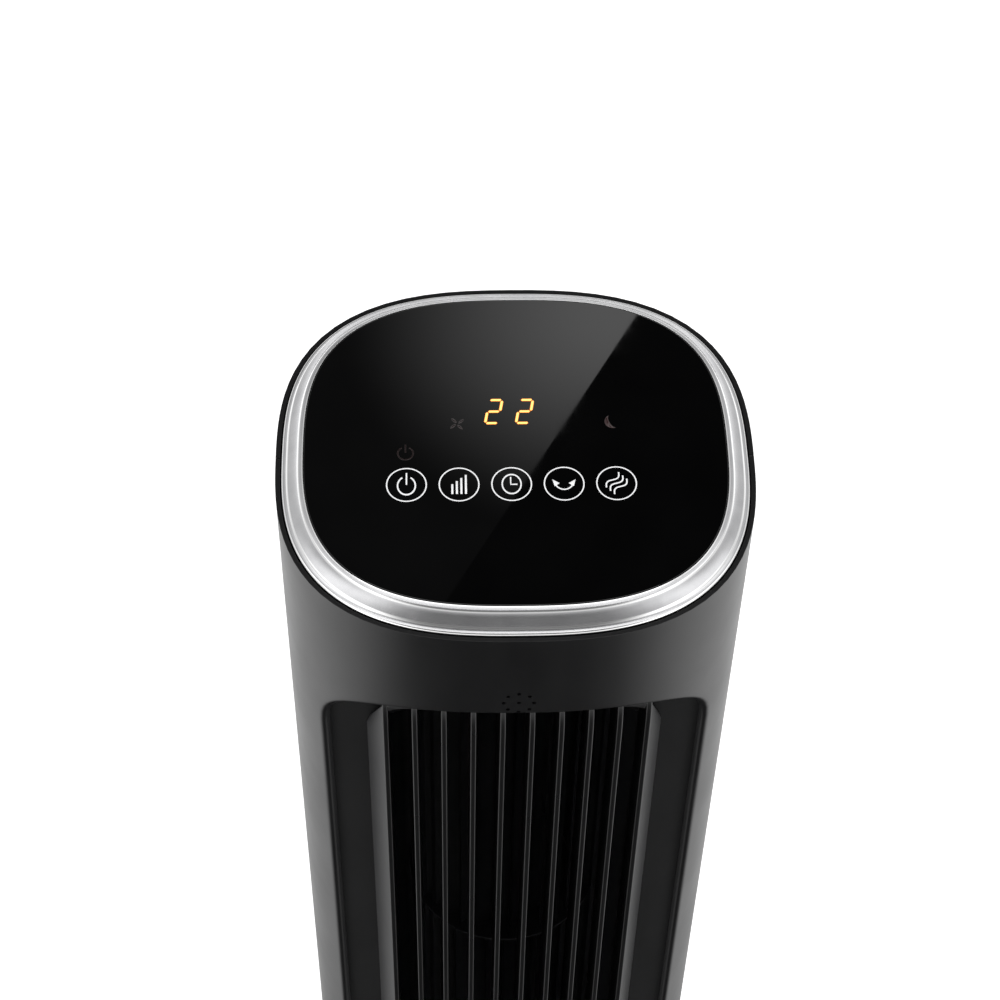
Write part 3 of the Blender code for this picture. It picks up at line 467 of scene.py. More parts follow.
def roundedSides(half, top, bottom, radius):
    def arc(cx, cz, start, stop):
        turns = np.radians(np.linspace(start, stop, 13))
        return [(cx + radius * math.cos(t), cz + radius * math.sin(t)) for t in turns]
    right, left = half - radius, radius - half
    high, low = top - radius, bottom + radius
    return [arc(right, low, -45, 0) + arc(right, high, 0, 45),
            arc(right, high, 45, 90) + arc(left, high, 90, 135),
            arc(left, high, 135, 180) + arc(left, low, 180, 225),
            arc(left, low, 225, 270) + arc(right, low, 270, 315)]


def outlineOf(sides, counts):
    return [point for side, count in zip(sides, counts) for point in spaced(side, count)]


def wallSheet(name, side, opening, counts, low, high, lip, finish, stands):
    # a half casing with one opening: rings run from the rolled lip of the opening out to the casing's edges
    xz = outlineOf(opening, counts)
    inner = np.array([(runAt(x), z) for x, z in xz])
    edge = seamRun - tower["seamGap"]
    highEdge = high if callable(high) else (lambda run: high)
    topRuns = np.linspace(edge, -edge, 61)
    outerSides = [[(edge, low), (edge, highEdge(edge))], [(r, highEdge(r)) for r in topRuns],
                  [(-edge, highEdge(edge)), (-edge, low)], [(-edge, low), (edge, low)]]
    outer = np.array(outlineOf(outerSides, counts))
    ahead, behind = np.roll(inner, -1, axis=0), np.roll(inner, 1, axis=0)
    along = ahead - behind
    along /= np.linalg.norm(along, axis=1)[:, None]
    out = np.stack([along[:, 1], -along[:, 0]], axis=1)

    def ring(points, depth):
        placed = []
        for run, z in points:
            x, y = ovalPoint(turnAt(side, run), depth)
            placed.append(Vector((x, y, z)))
        return placed

    rings = [ring(inner, lip["deep"])]
    roll = lip["roll"]
    for step in range(lip["steps"] + 1):
        turn = math.pi / 2 * step / lip["steps"]
        rings.append(ring(inner + out * roll * (1 - math.cos(turn)), roll * (1 - math.sin(turn))))
    start = inner + out * roll
    for step in range(1, lip["rings"] + 1):
        share = step / lip["rings"]
        reach = 0.35 * share + 0.65 * share * share if share < 1 else 1.0  # closer together near the lip
        rings.append(ring(start + (outer - start) * reach, 0.0))
    bm = bmesh.new()
    growRings(bm, rings)
    bm.normal_update()
    sample = max(bm.faces, key=lambda f: abs(f.calc_center_median().y))
    if sample.normal.y * side < 0:
        bmesh.ops.reverse_faces(bm, faces=bm.faces)
    piece = finishPiece(name, bm, finish, stands=stands, closed=False)
    wall = piece.modifiers.new("wall", "SOLIDIFY")
    wall.thickness = tower["wall"] - 0.0003
    wall.offset = -1.0
    roundEdges(piece, 0.00035, 2, 50.0)
    return piece


# casing

window = {
    "half": 0.0705,
    "drop": 0.0510,
    "bottom": 0.190,
    "shoulder": 0.034,
    "lip": {"deep": 0.0034, "roll": 0.0021, "steps": 6, "rings": 22},
    "counts": (72, 60, 72, 60),
}
frontCasing = wallSheet(
    "frontCasing", -1,
    archSides(window["half"], tower["rim"] - window["drop"], window["bottom"], window["shoulder"]),
    window["counts"], tower["foot"], lambda run: rimHeight(ovalPoint(turnAt(-1, run))[1]),
    window["lip"], finishes["casing_satin"], ["front_casing"])
settle(frontCasing)

sounder = {"drop": 0.0437, "ring": 0.0053, "hole": 0.00075, "around": 8, "inset": 0.0015, "depth": 0.006}
bm = bmesh.new()
holePlaces = [(0.0, 0.0)]
for number in range(sounder["around"]):
    turn = 2 * math.pi * number / sounder["around"]
    holePlaces.append((sounder["ring"] * math.cos(turn), sounder["ring"] * math.sin(turn)))
lie = Matrix.Rotation(math.radians(90), 4, "X")
for x, z in holePlaces:
    spot = Matrix.Translation((x, casingLow.y + sounder["inset"], tower["rim"] - sounder["drop"] + z))
    bmesh.ops.create_cone(bm, cap_ends=True, segments=20, radius1=sounder["hole"], radius2=sounder["hole"],
                          depth=sounder["depth"], matrix=spot @ lie)
cut(frontCasing, bm)

intake = {
    "half": 0.058,
    "top": tower["rim"] - 0.1114,
    "bottom": 0.205,
    "corner": 0.0055,
    "lip": {"deep": 0.0030, "roll": 0.0012, "steps": 4, "rings": 16},
}
wallSheet("rearCasing", 1, roundedSides(intake["half"], intake["top"], intake["bottom"], intake["corner"]),
          (60, 44, 60, 44), rearLow.z, rearHigh.z, intake["lip"], finishes["casing_satin"], ["rear_casing"])

grip = {
    "half": 0.038,
    "top": tower["rim"] - 0.0534,
    "bottom": tower["rim"] - 0.0814,
    "corner": 0.010,
    "lip": {"deep": 0.0030, "roll": 0.0016, "steps": 5, "rings": 14},
}
wallSheet("rearHead", 1, roundedSides(grip["half"], grip["top"], grip["bottom"], grip["corner"]),
          (28, 52, 28, 52), headLow.z, lambda run: rimHeight(ovalPoint(turnAt(1, run))[1]),
          grip["lip"], finishes["casing_satin"], ["rear_head"])
print("casing done")


# silver ring and glass panel

ringTurns = evenTurns(288)


def rimRing(inset, up):
    # a ring round the tower's top, that far in from its surface and above its rim
    placed = []
    for turn in ringTurns:
        x, y = ovalPoint(turn, inset)
        placed.append(Vector((x, y, rimHeight(y, up))))
    return placed


bezel = {
    "inset": 0.0022,
    "run": 0.0078,
    "rise": 0.0057,
    "skirt": 0.0078,
    "wall": 0.0018,
    "ledge": 0.0030,       # the glass rests on it
    "ledgeTop": 0.0021,
    "ledgeUnder": 0.0034,
    # shares of run and rise, and whether polished with a painted highlight: outer bead, bands with a step
    # between them, inner bead
    "profile": [(0.0, -0.10, 0), (0.0, 0.05, 1), (0.05, 0.12, 1), (0.085, 0.135, 0), (0.185, 0.170, 0),
                (0.225, 0.23, 1), (0.275, 0.30, 1), (0.31, 0.33, 0), (0.45, 0.44, 0), (0.62, 0.64, 0),
                (0.71, 0.765, 0), (0.745, 0.83, 1), (0.785, 0.89, 1), (0.82, 0.925, 0), (0.93, 0.962, 0),
                (0.965, 0.985, 1), (1.0, 1.0, 1)],
}
rings = [rimRing(bezel["inset"], -bezel["skirt"])]
paintedRidgeHighlights = [0]
for share, rise, polishAndPaintedHighlight in bezel["profile"]:
    rings.append(rimRing(bezel["inset"] + share * bezel["run"], rise * bezel["rise"]))
    paintedRidgeHighlights.append(polishAndPaintedHighlight)
innerEdge = bezel["inset"] + bezel["run"]
under = [(innerEdge, bezel["rise"] - bezel["ledgeTop"]),
         (innerEdge + bezel["ledge"], bezel["rise"] - bezel["ledgeTop"]),
         (innerEdge + bezel["ledge"], bezel["rise"] - bezel["ledgeUnder"]),
         (bezel["inset"] + bezel["wall"], -0.0010),
         (bezel["inset"] + bezel["wall"], -bezel["skirt"])]
rings += [rimRing(inset, up) for inset, up in under]
paintedRidgeHighlights += [0] * len(under)
bm = bmesh.new()
growRings(bm, rings, close=True, marks=paintedRidgeHighlights)
roundEdges(finishPiece("bezelRing", bm, finishes["bezel_silver"], stands=["bezel"]), 0.00012, 2, 55.0)

panel = {"inset": innerEdge + 0.0002, "thick": 0.0020, "edge": 0.0003}
top = bezel["rise"]
bm = bmesh.new()
growRings(bm, [rimRing(panel["inset"] + 0.0002, top - panel["thick"]),
               rimRing(panel["inset"], top - panel["thick"] + 0.0002),
               rimRing(panel["inset"], top - panel["edge"]),
               rimRing(panel["inset"] + 0.00009, top - 0.00009),
               rimRing(panel["inset"] + panel["edge"], top)], cap=True)
glass = finishPiece("glassPanel", bm, finishes["panel_gloss"], stands=["glass_panel"])
glass.data.set_sharp_from_angle(angle=math.radians(20))
print("head done")


# prints and lit digits, drawn flat in metres and laid on the glass

prints = {"lift": 0.00002, "thick": 0.00008}  # over the glass, and through a flat plate


def printPiece(name, mesh, finish, tall=1.0, about=0.0):
    # stretches a print to tall times its height about one line, and lays it on the sloping glass
    mesh.transform(Matrix.Translation((0, about * (1 - tall), 0)) @ Matrix.Diagonal((1, tall, 1, 1)))
    height = tower["rim"] + bezel["rise"] + prints["lift"]
    mesh.transform(Matrix(((1, 0, 0, 0), (0, 1, 0, 0), (0, tower["slope"], 1, height), (0, 0, 0, 1))))
    mesh.materials.clear()
    mesh.materials.append(finish)
    mesh.shade_smooth()
    piece = addObject(name, mesh)
    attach(piece, "tower")


def strokes(lines, width):
    # lines of (points, closed) as thin rounded strokes, flattened to a quarter of their depth
    curve = bpy.data.curves.new("strokes", "CURVE")
    curve.dimensions = "3D"
    curve.bevel_depth = width / 2
    curve.bevel_resolution = 2
    curve.use_fill_caps = True
    for points, closed in lines:
        spline = curve.splines.new("POLY")
        spline.points.add(len(points) - 1)
        for spot, (x, y) in zip(spline.points, points):
            spot.co = (x, y, 0.0, 1.0)
        spline.use_cyclic_u = closed
    holder = addObject("strokes", curve)
    bpy.context.view_layer.update()
    mesh = bpy.data.meshes.new_from_object(holder.evaluated_get(bpy.context.evaluated_depsgraph_get()))
    bpy.data.objects.remove(holder)
    mesh.transform(Matrix.Diagonal((1, 1, 0.25, 1)))
    return mesh


def arcLine(cx, cy, radius, start, stop, steps=40, squash=1.0):
    turns = np.radians(np.linspace(start, stop, steps))
    return [(cx + radius * math.cos(t), cy + squash * radius * math.sin(t)) for t in turns]


buttons = {
    "across": 0.0143,
    "pitch": 0.01836,
    "middle": -0.0018,
    "row": -0.0163,
    "stroke": 0.00048,
    "iconStroke": 0.00054,
    "tall": 1.22,
}
spots = [(buttons["middle"] + buttons["pitch"] * (number - 2), buttons["row"]) for number in range(5)]
names = ("power", "speed", "timer", "swing", "breeze")
for (cx, cy), label in zip(spots, names):
    radius = (buttons["across"] - buttons["stroke"]) / 2
    printPiece("ring_" + label, strokes([(arcLine(cx, cy, radius, 0, 357, 120), True)], buttons["stroke"]),
               printWhite)


def powerLines(cx, cy, radius):
    stem = [(cx, cy + radius * 0.10), (cx, cy + radius * 1.40)]
    return [(arcLine(cx, cy, radius, 118, 422, 50), False), (stem, False)]


cx, cy = spots[0]
printPiece("icon_power", strokes(powerLines(cx, cy - 0.0003, 0.0031), buttons["iconStroke"]), printWhite,
           tall=buttons["tall"], about=cy)

cx, cy = spots[1]
bm = bmesh.new()
for number, height in enumerate((0.0041, 0.0054, 0.0067, 0.0080)):
    x = cx + (number - 1.5) * 0.00158
    low = cy - 0.0040
    block(bm, (x, low + height / 2, 0), (0.00070, height, prints["thick"]))
softenEdges(bm, bm.edges, 0.00003, 1)
printPiece("icon_speed", meshFrom("icon_speed", bm), printWhite)

cx, cy = spots[2]
hands = [(cx - 0.0003, cy + 0.0024), (cx - 0.0003, cy - 0.0001), (cx + 0.0020, cy - 0.0001)]
printPiece("icon_timer", strokes([(arcLine(cx, cy, 0.0033, 0, 354, 60), True), (hands, False)], 0.00050),
           printWhite, tall=buttons["tall"], about=cy)

cx, cy = spots[3]
mesh = strokes([(arcLine(cx, cy + 0.0014, 0.0034, 208, 332, 40, 1.12), False)], buttons["iconStroke"])
bm = bmesh.new()
for side in (-1, 1):
    lean = Matrix.Rotation(math.radians(-side * 36), 4, "Z")
    tipPlace = Matrix.Translation((cx + side * 0.0030, cy + 0.0003, 0)) @ lean
    bmesh.ops.create_cone(bm, cap_ends=True, segments=3, radius1=0.00155, radius2=0.0015,
                          depth=prints["thick"], matrix=tipPlace @ Matrix.Diagonal((0.82, 1.22, 1, 1)))
bm.from_mesh(mesh)
bm.to_mesh(mesh)
bm.free()
printPiece("icon_swing", mesh, printWhite)

cx, cy = spots[4]
waves = []
for number in range(3):
    shiftX, shiftY = (number - 1) * 0.00135, (1 - number) * 0.00140
    line = []
    for step in range(31):
        share = step / 30
        lean = share - 0.5
        line.append((cx + shiftX + lean * 0.0045 - 0.00085 * math.sin(2 * math.pi * share),
                     cy + shiftY + lean * 0.0064 + 0.00060 * math.sin(2 * math.pi * share)))
    waves.append((line, False))
printPiece("icon_breeze", strokes(waves, buttons["iconStroke"]), printWhite)

printPiece("dim_power", strokes(powerLines(-0.0389, -0.0029, 0.0027), 0.0006), printDim)

bm = bmesh.new()
for number in range(4):
    turn = Matrix.Rotation(math.radians(90 * number + 20), 4, "Z")
    swing = Matrix.Translation((-0.0206, 0.0097, 0)) @ turn
    petal = swing @ Matrix.Translation((0.0017, 0.0005, 0)) @ Matrix.Rotation(math.radians(24), 4, "Z")
    bmesh.ops.create_cone(bm, cap_ends=True, segments=24, radius1=0.0012, radius2=0.00115,
                          depth=prints["thick"], matrix=petal @ Matrix.Diagonal((1.15, 0.42, 1, 1)))
printPiece("dim_fan", meshFrom("dim_fan", bm), printDim)

bm = bmesh.new()
bmesh.ops.create_cone(bm, cap_ends=True, segments=64, radius1=0.0029, radius2=0.00285,
                      depth=prints["thick"])
bmesh.ops.rotate(bm, verts=bm.verts, matrix=Matrix.Rotation(math.radians(28), 3, "Z"))
for vert in bm.verts:  # one half folds back over the other, which leaves a crescent
    if vert.co.x > 0:
        vert.co.x *= -0.42
bmesh.ops.rotate(bm, verts=bm.verts, matrix=Matrix.Rotation(math.radians(22), 3, "Z"))
bmesh.ops.translate(bm, verts=bm.verts, vec=(0.0348, 0.0103, 0))
printPiece("dim_moon", meshFrom("dim_moon", bm), printMoon)

digits = {
    "low": 0.0094,
    "high": 0.0206,
    "centres": (-0.00745, 0.00355),
    "wide": 0.0056,
    "lean": 0.17,
    "thick": 0.00105,
    "gap": 0.00022,
}


def addSegment(bm, start, stop):
    # a flat six-sided bar between two points
    (x0, y0), (x1, y1) = start, stop
    length = math.hypot(x1 - x0, y1 - y0) / 2 - digits["gap"]
    half = digits["thick"] / 2
    made = bmesh.ops.create_cone(bm, cap_ends=True, segments=6, radius1=1.0, radius2=1.0,
                                 depth=prints["thick"])["verts"]
    for vert in made:
        if abs(vert.co.y) > 0.9:
            vert.co.y = math.copysign(length, vert.co.y)
        else:
            vert.co.x = math.copysign(half, vert.co.x)
            vert.co.y = math.copysign(length - half * 0.8, vert.co.y)
    turn = math.atan2(y1 - y0, x1 - x0) - math.pi / 2
    place = Matrix.Translation(((x0 + x1) / 2, (y0 + y1) / 2, 0)) @ Matrix.Rotation(turn, 4, "Z")
    bmesh.ops.transform(bm, verts=made, matrix=place)


bm = bmesh.new()
tall = digits["high"] - digits["low"] - digits["thick"]
for centre in digits["centres"]:
    left = centre - digits["wide"] / 2 + digits["thick"] / 2
    right = centre + digits["wide"] / 2 - digits["thick"] / 2
    low = digits["low"] + digits["thick"] / 2
    corners = {
        "topLeft": (left, low + tall), "topRight": (right, low + tall), "midLeft": (left, low + tall / 2),
        "midRight": (right, low + tall / 2), "lowLeft": (left, low), "lowRight": (right, low),
    }
    for start, stop in (("topLeft", "topRight"), ("topRight", "midRight"), ("midLeft", "midRight"),
                        ("midLeft", "lowLeft"), ("lowLeft", "lowRight")):
        addSegment(bm, corners[start], corners[stop])
middleY = (digits["low"] + digits["high"]) / 2
for vert in bm.verts:
    vert.co.x += (vert.co.y - middleY) * digits["lean"]
middle = bm.verts.layers.float.new("middle")
topFaces = [face for face in bm.faces if face.calc_center_median().z > 0.00003]
bmesh.ops.inset_individual(bm, faces=topFaces, thickness=0.00034, depth=0.00003, use_even_offset=True)
for face in topFaces:
    for vert in face.verts:
        vert[middle] = 1.0
printPiece("litDigits", meshFrom("digits", bm), amberGlow)
print("prints done")


# recess, louvre frame and slats

channel = {
    "face": inlayLow.y,
    "thick": 0.0020,
    "innerHalf": 0.0508,
    "innerDrop": 0.0815,
    "shoulder": 0.015,
    "spread": 0.0006,
}
archCounts = (56, 56, 56, 56)
footMargin = 0.0265  # the louvre block ends this far inside the window


def archRing(half, drop, shoulder, margin, depthAt):
    sides = archSides(half, tower["rim"] - drop, window["bottom"] + margin, shoulder)
    return [Vector((x, -depthAt(x), z)) for x, z in outlineOf(sides, archCounts)]


skirtHalf = window["half"] + channel["spread"]
skirtDrop = window["drop"] - channel["spread"]


def skirtRing(out, depthAt):
    return archRing(skirtHalf + out, skirtDrop - out, window["shoulder"], -channel["spread"] - out, depthAt)


def innerRing(depth):
    return archRing(channel["innerHalf"], channel["innerDrop"], channel["shoulder"], footMargin + 0.004,
                    lambda x: depth)


bm = bmesh.new()
floorDepth = -channel["face"]
rings = [
    innerRing(floorDepth),
    skirtRing(-0.0022, lambda x: floorDepth),
    skirtRing(-0.0009, lambda x: floorDepth + 0.0002),
    skirtRing(-0.0002, lambda x: floorDepth + 0.0009),
    skirtRing(0.0, lambda x: floorDepth + 0.0016),
    skirtRing(0.0, lambda x: max(wallDepth(x, 0.0026), floorDepth + 0.0018)),
    skirtRing(0.0011, lambda x: max(wallDepth(x, 0.0026), floorDepth + 0.0018)),
    skirtRing(0.0011, lambda x: floorDepth - channel["thick"]),
    innerRing(floorDepth - channel["thick"]),
]
growRings(bm, rings, close=True)
inlay = finishPiece("channelInlay", bm, finishes["matte_trim"], stands=["channel_inlay"])
inlay.data.set_sharp_from_angle(angle=math.radians(50))

louvre = {
    "frontHalf": 0.0478,
    "frontDrop": 0.0490,
    "frontShoulder": 0.008,
    "frontInset": 0.0026,
    "footHalf": 0.0548,
    "footDrop": 0.0775,
    "footShoulder": 0.015,
    "wall": 0.0020,
    "lip": 0.0013,
    "slats": 10,
    "pitch": 0.01045,
    "width": 0.0021,
    "inset": 0.0007,
    "curveDrop": 0.0672,
    "curve": 0.0076,
    "curveSteps": 12,
    "edge": 0.00052,
}
frontMargin = louvre["frontDrop"] - window["drop"]


def frontLoop(inward, inset, down=0.0):
    return archRing(louvre["frontHalf"] - inward, louvre["frontDrop"] + inward + down,
                    louvre["frontShoulder"], frontMargin + inward + down, lambda x: wallDepth(x, inset))


def footRing(inward):
    return archRing(louvre["footHalf"] - inward, louvre["footDrop"] + inward, louvre["footShoulder"],
                    footMargin + inward, lambda x: floorDepth + 0.0005)


def between(low, high, share):
    return [a.lerp(b, share) for a, b in zip(low, high)]


footLoop, footInner = footRing(0.0), footRing(louvre["wall"])
outerFront = frontLoop(0.0, louvre["frontInset"])
innerBack = frontLoop(louvre["lip"], louvre["frontInset"] + 0.003, 0.007)
rings = [frontLoop(louvre["lip"], louvre["frontInset"]), outerFront]
rings += [between(outerFront, footLoop, share) for share in (0.02, 0.2, 0.4, 0.6, 0.8, 0.98)]
rings += [footLoop, footInner]
rings += [between(footInner, innerBack, share) for share in (0.33, 0.66)] + [innerBack]
bm = bmesh.new()
growRings(bm, rings, close=True)
louvreFrame = finishPiece("louvreFrame", bm, finishes["louvre_frame"], stands=["outlet_grille"])
roundEdges(louvreFrame, 0.00035, 2, 40.0)

bm = bmesh.new()
slatLow = window["bottom"] + frontMargin + louvre["lip"] / 2
slatHigh = tower["rim"] - louvre["frontDrop"] - louvre["lip"] / 2
curveHigh = tower["rim"] - louvre["curveDrop"]
curveLow = slatLow + slatHigh - curveHigh
curveTall = slatHigh - curveHigh
root = floorDepth + 0.0006
for number in range(louvre["slats"]):
    x = (number - (louvre["slats"] - 1) / 2) * louvre["pitch"]
    front = wallDepth(x, louvre["inset"])
    made = block(bm, (x, -(front + root) / 2, (slatHigh + slatLow) / 2),
                 (louvre["width"], front - root, slatHigh - slatLow))
    geom = made + list({e for v in made for e in v.link_edges})
    geom += list({f for v in made for f in v.link_faces})
    for step in range(louvre["curveSteps"]):
        rise = curveTall * math.sin(math.pi / 2 * step / louvre["curveSteps"])
        for height in (curveHigh + rise, curveLow - rise):
            sliced = bmesh.ops.bisect_plane(bm, geom=geom, plane_co=(0, 0, height), plane_no=(0, 0, 1),
                                            dist=1e-7)
            geom = list({*sliced["geom"], *sliced["geom_cut"]})
    for vert in {g for g in geom if isinstance(g, bmesh.types.BMVert)}:
        beyond = max(vert.co.z - curveHigh, curveLow - vert.co.z, 0.0) / curveTall
        if vert.co.y < -front + 1e-5:
            vert.co.y += louvre["curve"] * (1 - math.sqrt(max(0.0, 1 - beyond * beyond)))
    frontEdges = []
    for edge in {g for g in geom if isinstance(g, bmesh.types.BMEdge)}:
        a, b = edge.verts
        alongSide = abs(a.co.x - b.co.x) < 1e-6 and abs(a.co.z - b.co.z) > 1e-6
        if alongSide and max(a.co.y, b.co.y) < -front + louvre["curve"] + 1e-4:
            frontEdges.append(edge)
    softenEdges(bm, frontEdges, louvre["edge"], 4)
slats = finishPiece("louvreSlats", bm, finishes["louvre_satin"], slotName="casing_satin")
slats.data.set_sharp_from_angle(angle=math.radians(38))
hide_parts("outlet_grille")
print("louvres done")


# rear intake

bars = {
    "count": 13,
    "width": 0.0022,
    "edge": 0.00095,
    "rails": 5,
    "rail": 0.0030,
    "endRail": 0.0100,
    "overlap": 0.003,
    "inset": 0.0023,
    "deep": 0.0025,
}
bm = bmesh.new()
span = intake["top"] - intake["bottom"]
lie = Matrix.Rotation(math.radians(90), 4, "X")
for number in range(bars["rails"]):
    tall = bars["endRail"] if number in (0, bars["rails"] - 1) else bars["rail"]
    z = intake["bottom"] + span * number / (bars["rails"] - 1)
    size = Matrix.Diagonal((2 * (intake["half"] + bars["overlap"]), tall, 1, 1))
    made = bmesh.ops.create_grid(bm, x_segments=48, y_segments=2, size=0.5,
                                 matrix=Matrix.Translation((0, 0, z)) @ lie @ size)["verts"]
    for vert in made:
        vert.co.y = wallDepth(vert.co.x, bars["inset"])
    faces = list({face for vert in made for face in vert.link_faces})
    grown = bmesh.ops.extrude_face_region(bm, geom=faces)["geom"]
    for vert in grown:
        if isinstance(vert, bmesh.types.BMVert):
            vert.co.y -= bars["deep"]
railPiece = finishPiece("intakeRails", bm, finishes["casing_satin"], stands=["intake_grille"])
roundEdges(railPiece, 0.0003, 2, 50.0)

bm = bmesh.new()
for number in range(bars["count"]):
    x = (number - (bars["count"] - 1) / 2) * 2 * intake["half"] / bars["count"]
    face, back = wallDepth(x, 0.0006), wallDepth(x, bars["inset"] + bars["deep"] - 0.0006)
    low, high = intake["bottom"] + 0.0012, intake["top"] - 0.0012
    made = block(bm, (x, (face + back) / 2, (low + high) / 2), (bars["width"], face - back, high - low))
    outerEdges = []
    for edge in {e for v in made for e in v.link_edges}:
        a, b = edge.verts
        if min(a.co.y, b.co.y) > face - 1e-5 and abs(a.co.z - b.co.z) > 0.1:
            outerEdges.append(edge)
    softenEdges(bm, outerEdges, bars["edge"], 4)
barPiece = finishPiece("intakeBars", bm, finishes["casing_satin"], slotName="casing_satin")
barPiece.data.set_sharp_from_angle(angle=math.radians(40))
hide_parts("intake_grille")
print("intake done")


# cross-flow wheel, seen between the slats: many thin curved blades in three stages

wheelLow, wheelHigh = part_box("fan_wheel")
wheel = {
    "radius": (wheelHigh.x - wheelLow.x) / 2,
    "centre": (wheelLow + wheelHigh) / 2,
    "low": 0.186,
    "disc": 0.0016,
    "stages": 3,
    "blades": 34,
    "blade": 0.0009,
    "chord": 0.0098,
    "lean": math.radians(33),
    "ends": 0.0026,
}
wheelTop = wheelHigh.z - 0.010
bm = bmesh.new()
step = (wheelTop - wheel["low"] - wheel["disc"]) / wheel["stages"]
for stage in range(wheel["stages"]):
    low = wheel["low"] + wheel["disc"] * 0.5 + step * stage
    blade = bmesh.new()
    bmesh.ops.create_grid(blade, x_segments=4, y_segments=1, size=0.5)
    for vert in blade.verts:
        share = vert.co.x + 0.5
        radius = wheel["radius"] - 0.0008 - wheel["chord"] * share
        turn = wheel["lean"] * (share - 0.2) ** 2 * 0.7
        vert.co = (radius * math.cos(turn), radius * math.sin(turn), low + step * (vert.co.y + 0.5))
    bmesh.ops.solidify(blade, geom=blade.faces[:], thickness=wheel["blade"])
    bmesh.ops.recalc_face_normals(blade, faces=blade.faces)
    bladeMesh = meshFrom("blade", blade)
    for number in range(wheel["blades"]):
        turn = 2 * math.pi * (number + stage / wheel["stages"]) / wheel["blades"]
        before = len(bm.verts)
        bm.from_mesh(bladeMesh)
        bm.verts.ensure_lookup_table()
        bmesh.ops.rotate(bm, verts=bm.verts[before:], matrix=Matrix.Rotation(turn, 3, "Z"))
    bpy.data.meshes.remove(bladeMesh)
for stage in range(wheel["stages"] + 1):
    low = wheel["low"] + step * stage
    ends = stage in (0, wheel["stages"])
    inside = 0.0050 if ends else wheel["radius"] - wheel["chord"] - wheel["ends"]
    high = low + wheel["disc"]
    profile = [(inside, low), (wheel["radius"], low), (wheel["radius"], high), (inside, high)]
    spinOutline(bm, profile, 96)
bmesh.ops.translate(bm, verts=bm.verts, vec=(wheel["centre"].x, wheel["centre"].y, 0))
wheelPiece = finishPiece("fanWheel", bm, finishes["frame_plastic"], "wheel", ["fan_wheel"])
wheelPiece.data.set_sharp_from_angle(angle=math.radians(40))
print("wheel done")


# base

def spun(name, profile, finish, stands, steps, centre=(0.0, 0.0)):
    bm = bmesh.new()
    spinOutline(bm, profile, steps)
    bmesh.ops.remove_doubles(bm, verts=bm.verts, dist=1e-7)
    bmesh.ops.translate(bm, verts=bm.verts, vec=(*centre, 0.0))
    return finishPiece(name, bm, finish, "base", stands)


coverLow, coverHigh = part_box("base_cover")
cover = {
    "edge": 0.020,
    "bend": 0.0035,      # how far the edge rolls inwards,
    "bendTall": 0.005,   # and upwards
    "neck": 0.062,
    "neckFlare": 0.012,
    "neckEdge": 0.0016,
    "mouth": 0.026,
    "wall": 0.0025,
    "steps": 18,
}
radius, low, high = coverHigh.x, coverLow.z, coverHigh.z
edge, bend, bendTall = cover["edge"], cover["bend"], cover["bendTall"]
neck, neckEdge, wall = cover["neck"], cover["neckEdge"], cover["wall"]
outline = [(radius, low), (radius, edge - bendTall)]
for turn in np.radians(np.linspace(18, 72, 4)):
    outline.append((radius - bend * (1 - math.cos(turn)), edge - bendTall + bendTall * math.sin(turn)))
outline.append((radius - bend, edge))
slopeRun = radius - neck - cover["neckFlare"]
for step in range(1, cover["steps"] + 1):
    share = step / cover["steps"]
    rise = (high - 0.013 - edge) * share ** 1.25
    outline.append((radius - bend - (slopeRun - bend) * share, edge + rise))
for turn in np.radians(np.linspace(32, 90, 9)):
    flare = cover["neckFlare"] * (1 - math.sin(turn))
    outline.append((neck + flare, high - 0.003 - 0.010 * math.cos(turn)))
outline.append((neck, high - neckEdge))
for turn in np.radians((30, 60)):
    outline.append((neck - neckEdge * (1 - math.cos(turn)), high - neckEdge + neckEdge * math.sin(turn)))
outline.append((neck - neckEdge, high))
outline += [(cover["mouth"], high), (cover["mouth"], high - wall), (neck - wall, high - wall),
            (neck - wall, high - 0.012), (radius - 0.010, edge - 0.003),
            (radius - wall, edge - 0.006), (radius - wall, low)]
baseCover = spun("baseCover", outline, finishes["casing_satin"], ["base_cover"], 192)
baseCover.data.set_sharp_from_angle(angle=math.radians(32))

for name in sorted(frame["nodes"]):
    if name.startswith("foot_"):
        low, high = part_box(name)
        middle = (low + high) / 2
        radius = (high.x - low.x) / 2
        lip = 0.0012
        pad = [(lip, low.z), (radius - lip, low.z), (radius - 0.0003, low.z + 0.0004),
               (radius, low.z + lip), (radius, high.z), (lip, high.z)]
        spun(name.replace("foot_", "footPad_"), pad, finishes["soft_rubber"], [name], 48,
             (middle.x, middle.y))
print("base done")


# floor, light and camera

bm = bmesh.new()
bmesh.ops.create_circle(bm, cap_ends=True, segments=96, radius=14.0)
floor = addObject("floor", meshFrom("floor", bm))
floorFinish, tree, shader = newFinish("paleFloor")
cloud = noiseOn(tree, 0.8, 3.0)
tree.links.new(tint(tree, cloud, (0.90, 0.90, 0.90), (0.93, 0.93, 0.93)), shader.inputs["Base Color"])
shader.inputs["Roughness"].default_value = 0.9
shader.inputs["Specular IOR Level"].default_value = 0.1
shader.inputs["Emission Color"].default_value = (1, 1, 1, 1)
shader.inputs["Emission Strength"].default_value = 0.74
floor.data.materials.append(floorFinish)
floor.visible_glossy = False

